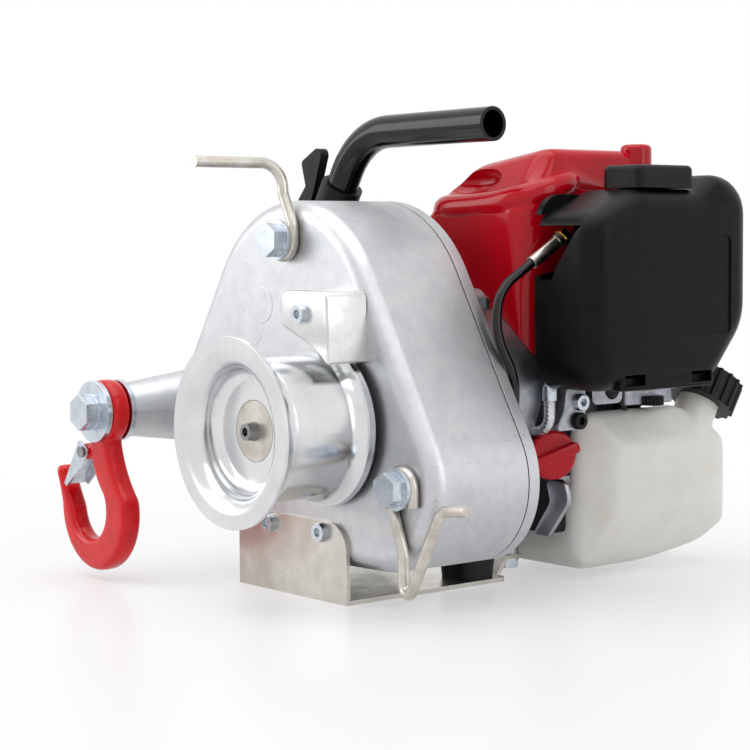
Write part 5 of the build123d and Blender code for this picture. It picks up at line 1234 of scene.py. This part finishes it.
@dataclass
class OilCap:
    """Red oil filler cap: a domed disc with a grip bar across it, slightly longer on one side."""

    centre: Point = (42.0, 122.0, 74.0)
    way: Point = (0.9397, -0.342, 0.0)
    radius: float = 14.0
    thickness: float = 7.0
    rim: float = 2.4
    bar: Sides = (-16.5, 14.5, -3.2, 3.2)
    bar_corner: float = 2.56
    bar_root: float = 2.5
    bar_height: float = 11.5
    bar_edge: float = 1.0
    bar_tilt: float = 20.0

    def build(self) -> None:
        """Model the cap and dress it."""
        piece = Piece("oil_filler_knob", Finishes.RED_COVER, "red_plastic", "oil_cap_body", "oil_cap", 35.0)
        way = Vector(self.way).normalized()
        base = Vector(self.centre).dot(way)
        piece.begin_rod(self.centre, way, self.radius, self.thickness, sides=48)
        piece.soften(lambda p: p.dot(way) > base + self.thickness - NEAR, self.rim, segments=5)
        tilt = math.radians(self.bar_tilt)
        along = Vector((-way.y, way.x, 0.0)) * math.cos(tilt) + Z_WAY * math.sin(tilt)
        across = way.cross(along)
        root = Vector(self.centre) + way * self.bar_root
        foot = [root + along * u + across * v for u, v in rectangle(self.bar, self.bar_corner, 5)]
        bar = piece.tool()
        bar.begin(foot)
        bar.extrude(way * (self.bar_height - self.bar_root))
        bar.soften(lambda p: p.dot(way) > base + self.bar_height - NEAR, self.bar_edge, segments=3)
        piece.combine(bar, Mix.ADD)
        piece.dress()


@dataclass
class CarburettorBowl:
    """Float bowl below the carburettor with its flange, and the ribbed drain knob beside it."""

    plan: Sides = (48.5, 55.0, 170.5, 210.0)
    corner: float = 2.5
    ends: Flat = (99.0, 107.5)
    bottom_edge: float = 1.2
    flange: Sides = (48.5, 56.6, 168.9, 211.6)
    flange_ends: Flat = (107.0, 111.5)
    flange_edge: float = 0.5
    knob_centre: Flat = (54.0, 191.0)
    knob_radius: float = 8.0
    knob_ends: Flat = (98.4, 103.8)
    knob_edge: float = 0.8
    knob_ribs: int = 24
    rib_depth: float = 0.7

    def build(self) -> None:
        """Model the bowl and the knob, and dress them."""
        bowl = Piece("carburettor_bowl", Finishes.ENGINE_CASTING, "cast_aluminium")
        bowl.begin_slab(rectangle(self.plan, self.corner, 5), Axis.Z, self.ends)
        bowl.soften(lambda p: p.z < self.ends[0] + NEAR, self.bottom_edge, segments=3)
        rim = bowl.sketch(rectangle(self.flange, self.corner, 5), Axis.Z, self.flange_ends)
        rim.soften(lambda p: p.z < self.flange_ends[0] + NEAR, self.flange_edge, segments=2)
        bowl.combine(rim, Mix.ADD)
        bowl.dress()
        knob = Piece("drain_knob", Finishes.BLACK_NYLON, "black_plastic", smooth_angle=25.0)
        x, y = self.knob_centre
        ring = []
        for k in range(2 * self.knob_ribs):
            radius = self.knob_radius - (k % 2) * self.rib_depth
            turn = math.pi * k / self.knob_ribs
            ring.append((x + radius * math.cos(turn), y + radius * math.sin(turn)))
        knob.begin_slab(ring, Axis.Z, self.knob_ends)
        knob.soften(lambda p: p.z > self.knob_ends[1] - NEAR, self.knob_edge, segments=2)
        knob.dress()


@dataclass
class Studio:
    """Camera, soft lights, pale floor and white surround.

    Attributes:
        azimuth: where the camera stands round the object, in degrees from -Y towards +X.
        elevation: how far above the horizon it stands, in degrees.
        roll: how far it is turned about its own axis, in degrees.
        distance: from the target, in metres.
        target: the point that it looks at.
        focal_px: focal length in pixels of the picture.
        picture_px: width of the picture in pixels.
        sensor_mm: width of the film.
        lamps: name, place, width and height in metres and power in watts of each soft box.
        lamp_aim: the point that the soft boxes face.
        world_glow: how much the surround lights the object, where 1 is white.
        floor_tint: colour of the floor, sRGB hex.
        floor_radius: in metres.
        floor_middle: point of the floor under the winch.
        floor_fade: where the floor starts to fade to plain white, and where it has faded.
        floor_glow: how white the floor is made beside the winch.
    """

    azimuth: float = 50.80
    elevation: float = 3.94
    roll: float = -0.42
    distance: float = 1.00762
    target: Point = (0.03812, 0.0, 0.12415)
    focal_px: float = 1942.03
    picture_px: float = 750.0
    sensor_mm: float = 36.0
    lamps: tuple[tuple[str, Point, Flat, float], ...] = (
        ("overhead_box", (0.0, -0.1, 1.5), (1.6, 1.6), 13.5),
        ("left_box", (-1.3, -1.2, 0.9), (1.0, 1.4), 11.0),
        ("right_box", (1.6, 0.5, 0.8), (0.7, 1.4), 4.5),
    )
    lamp_aim: Point = (-0.02, 0.06, 0.12)
    world_glow: float = 0.45
    floor_tint: str = "f4f4f5"
    floor_radius: float = 8.0
    floor_middle: Point = (-0.02, 0.05, 0.0)
    floor_fade: Flat = (0.16, 0.6)
    floor_glow: float = 0.45

    def camera(self) -> None:
        """Set the camera up where the photograph was taken from."""
        a, e, r = (math.radians(v) for v in (self.azimuth, self.elevation, self.roll))
        back = Vector((math.sin(a) * math.cos(e), -math.cos(a) * math.cos(e), math.sin(e)))
        level = Vector((math.cos(a), math.sin(a), 0.0))
        rise = back.cross(level)
        right = level * math.cos(r) + rise * math.sin(r)
        up = rise * math.cos(r) - level * math.sin(r)
        data = bpy.data.cameras.new("camera")
        data.sensor_width = self.sensor_mm
        data.lens = self.focal_px * self.sensor_mm / self.picture_px
        data.clip_start, data.clip_end = 0.01, 50.0
        lens = bpy.data.objects.new("camera", data)
        bpy.context.scene.collection.objects.link(lens)
        turn = Matrix((right, up, back)).transposed().to_4x4()
        lens.matrix_world = Matrix.Translation(Vector(self.target) + back * self.distance) @ turn
        bpy.context.scene.camera = lens

    def lights(self) -> None:
        """Hang a large soft box overhead and one each side."""
        for name, place, size, power in self.lamps:
            data = bpy.data.lights.new(name, "AREA")
            data.shape = "RECTANGLE"
            data.size, data.size_y = size
            data.energy = power
            box = bpy.data.objects.new(name, data)
            bpy.context.scene.collection.objects.link(box)
            way = Vector(self.lamp_aim) - Vector(place)
            box.matrix_world = Matrix.Translation(place) @ way.to_track_quat("-Z", "Y").to_matrix().to_4x4()

    def surround(self) -> None:
        """Light the object evenly from all round, with a white background to see and to mirror."""
        world = bpy.data.worlds.new("white_studio")
        world.use_nodes = True
        tree = world.node_tree
        tree.nodes.clear()
        path = add_node(tree, "LightPath").outputs
        greater = {"operation": "MAXIMUM"}
        seen = add_node(tree, "Math", greater, {0: path["Is Camera Ray"], 1: path["Is Glossy Ray"]})
        shown = add_node(tree, "Math", greater, {0: seen.outputs["Value"], 1: path["Is Transmission Ray"]})
        bounds = {"To Min": self.world_glow, "To Max": 1.0}
        strength = add_node(tree, "MapRange", bounds, {"Value": shown.outputs["Value"]})
        glow = add_node(tree, "Background", {"Color": WHITE}, {"Strength": strength.outputs["Result"]})
        add_node(tree, "OutputWorld", links={"Surface": glow.outputs["Background"]})
        bpy.context.scene.world = world

    def floor(self) -> None:
        """Lay the white floor that the winch stands on; it keeps the shadow near the winch."""
        bpy.ops.object.select_all(action="DESELECT")
        bpy.ops.mesh.primitive_circle_add(vertices=96, radius=self.floor_radius, fill_type="NGON")
        ground = bpy.context.object
        ground.name = "floor"
        material = bpy.data.materials.new("white_studio_floor")
        material.use_nodes = True
        tree = material.node_tree
        tree.nodes.clear()
        place = add_node(tree, "TexCoord").outputs["Object"]
        away = add_node(tree, "VectorMath", {"operation": "DISTANCE", 1: self.floor_middle}, {0: place})
        near, far = self.floor_fade
        bounds = {"From Min": near, "From Max": far, "To Min": self.floor_glow, "To Max": 1.0}
        bounds["interpolation_type"] = "SMOOTHSTEP"
        fade = add_node(tree, "MapRange", bounds, {"Value": away.outputs["Value"]}).outputs["Result"]
        path = add_node(tree, "LightPath").outputs
        rays = {0: path["Is Camera Ray"], 1: path["Is Glossy Ray"]}
        shown = add_node(tree, "Math", {"operation": "MAXIMUM"}, rays).outputs["Value"]
        amount = add_node(tree, "Math", {"operation": "MULTIPLY"}, {0: fade, 1: shown}).outputs["Value"]
        look = {"Base Color": linear(self.floor_tint), "Roughness": 0.28, "Specular IOR Level": 0.12}
        paint = add_node(tree, "BsdfPrincipled", look).outputs["BSDF"]
        white = add_node(tree, "Emission", {"Color": WHITE, "Strength": 1.0}).outputs["Emission"]
        mix = add_node(tree, "MixShader", links={0: amount, 1: paint, 2: white})
        add_node(tree, "OutputMaterial", links={"Surface": mix.outputs["Shader"]})
        ground.data.materials.append(material)

    def build(self) -> None:
        """Set up the whole studio."""
        bpy.context.scene.view_settings.view_transform = "Standard"
        self.camera()
        self.lights()
        self.surround()
        self.floor()


def main() -> None:
    """Dress the winch, set up the studio and report each piece."""
    logging.basicConfig(level=logging.INFO, format="%(message)s")
    Studio().build()
    for group in ASSEMBLIES:
        group.dress()
    covers = (TopCover(), CleanerCover(), FuelTank(), GUIDE_BLOCK, ForgedHook())
    fittings = (CapScrews(), Hoses(), SmallFittings(), OilCap(), ENGINE_BRACKET, TANK_STRAP, CarburettorBowl())
    for maker in covers + fittings:
        maker.build()


if __name__ == "__main__":
    main()
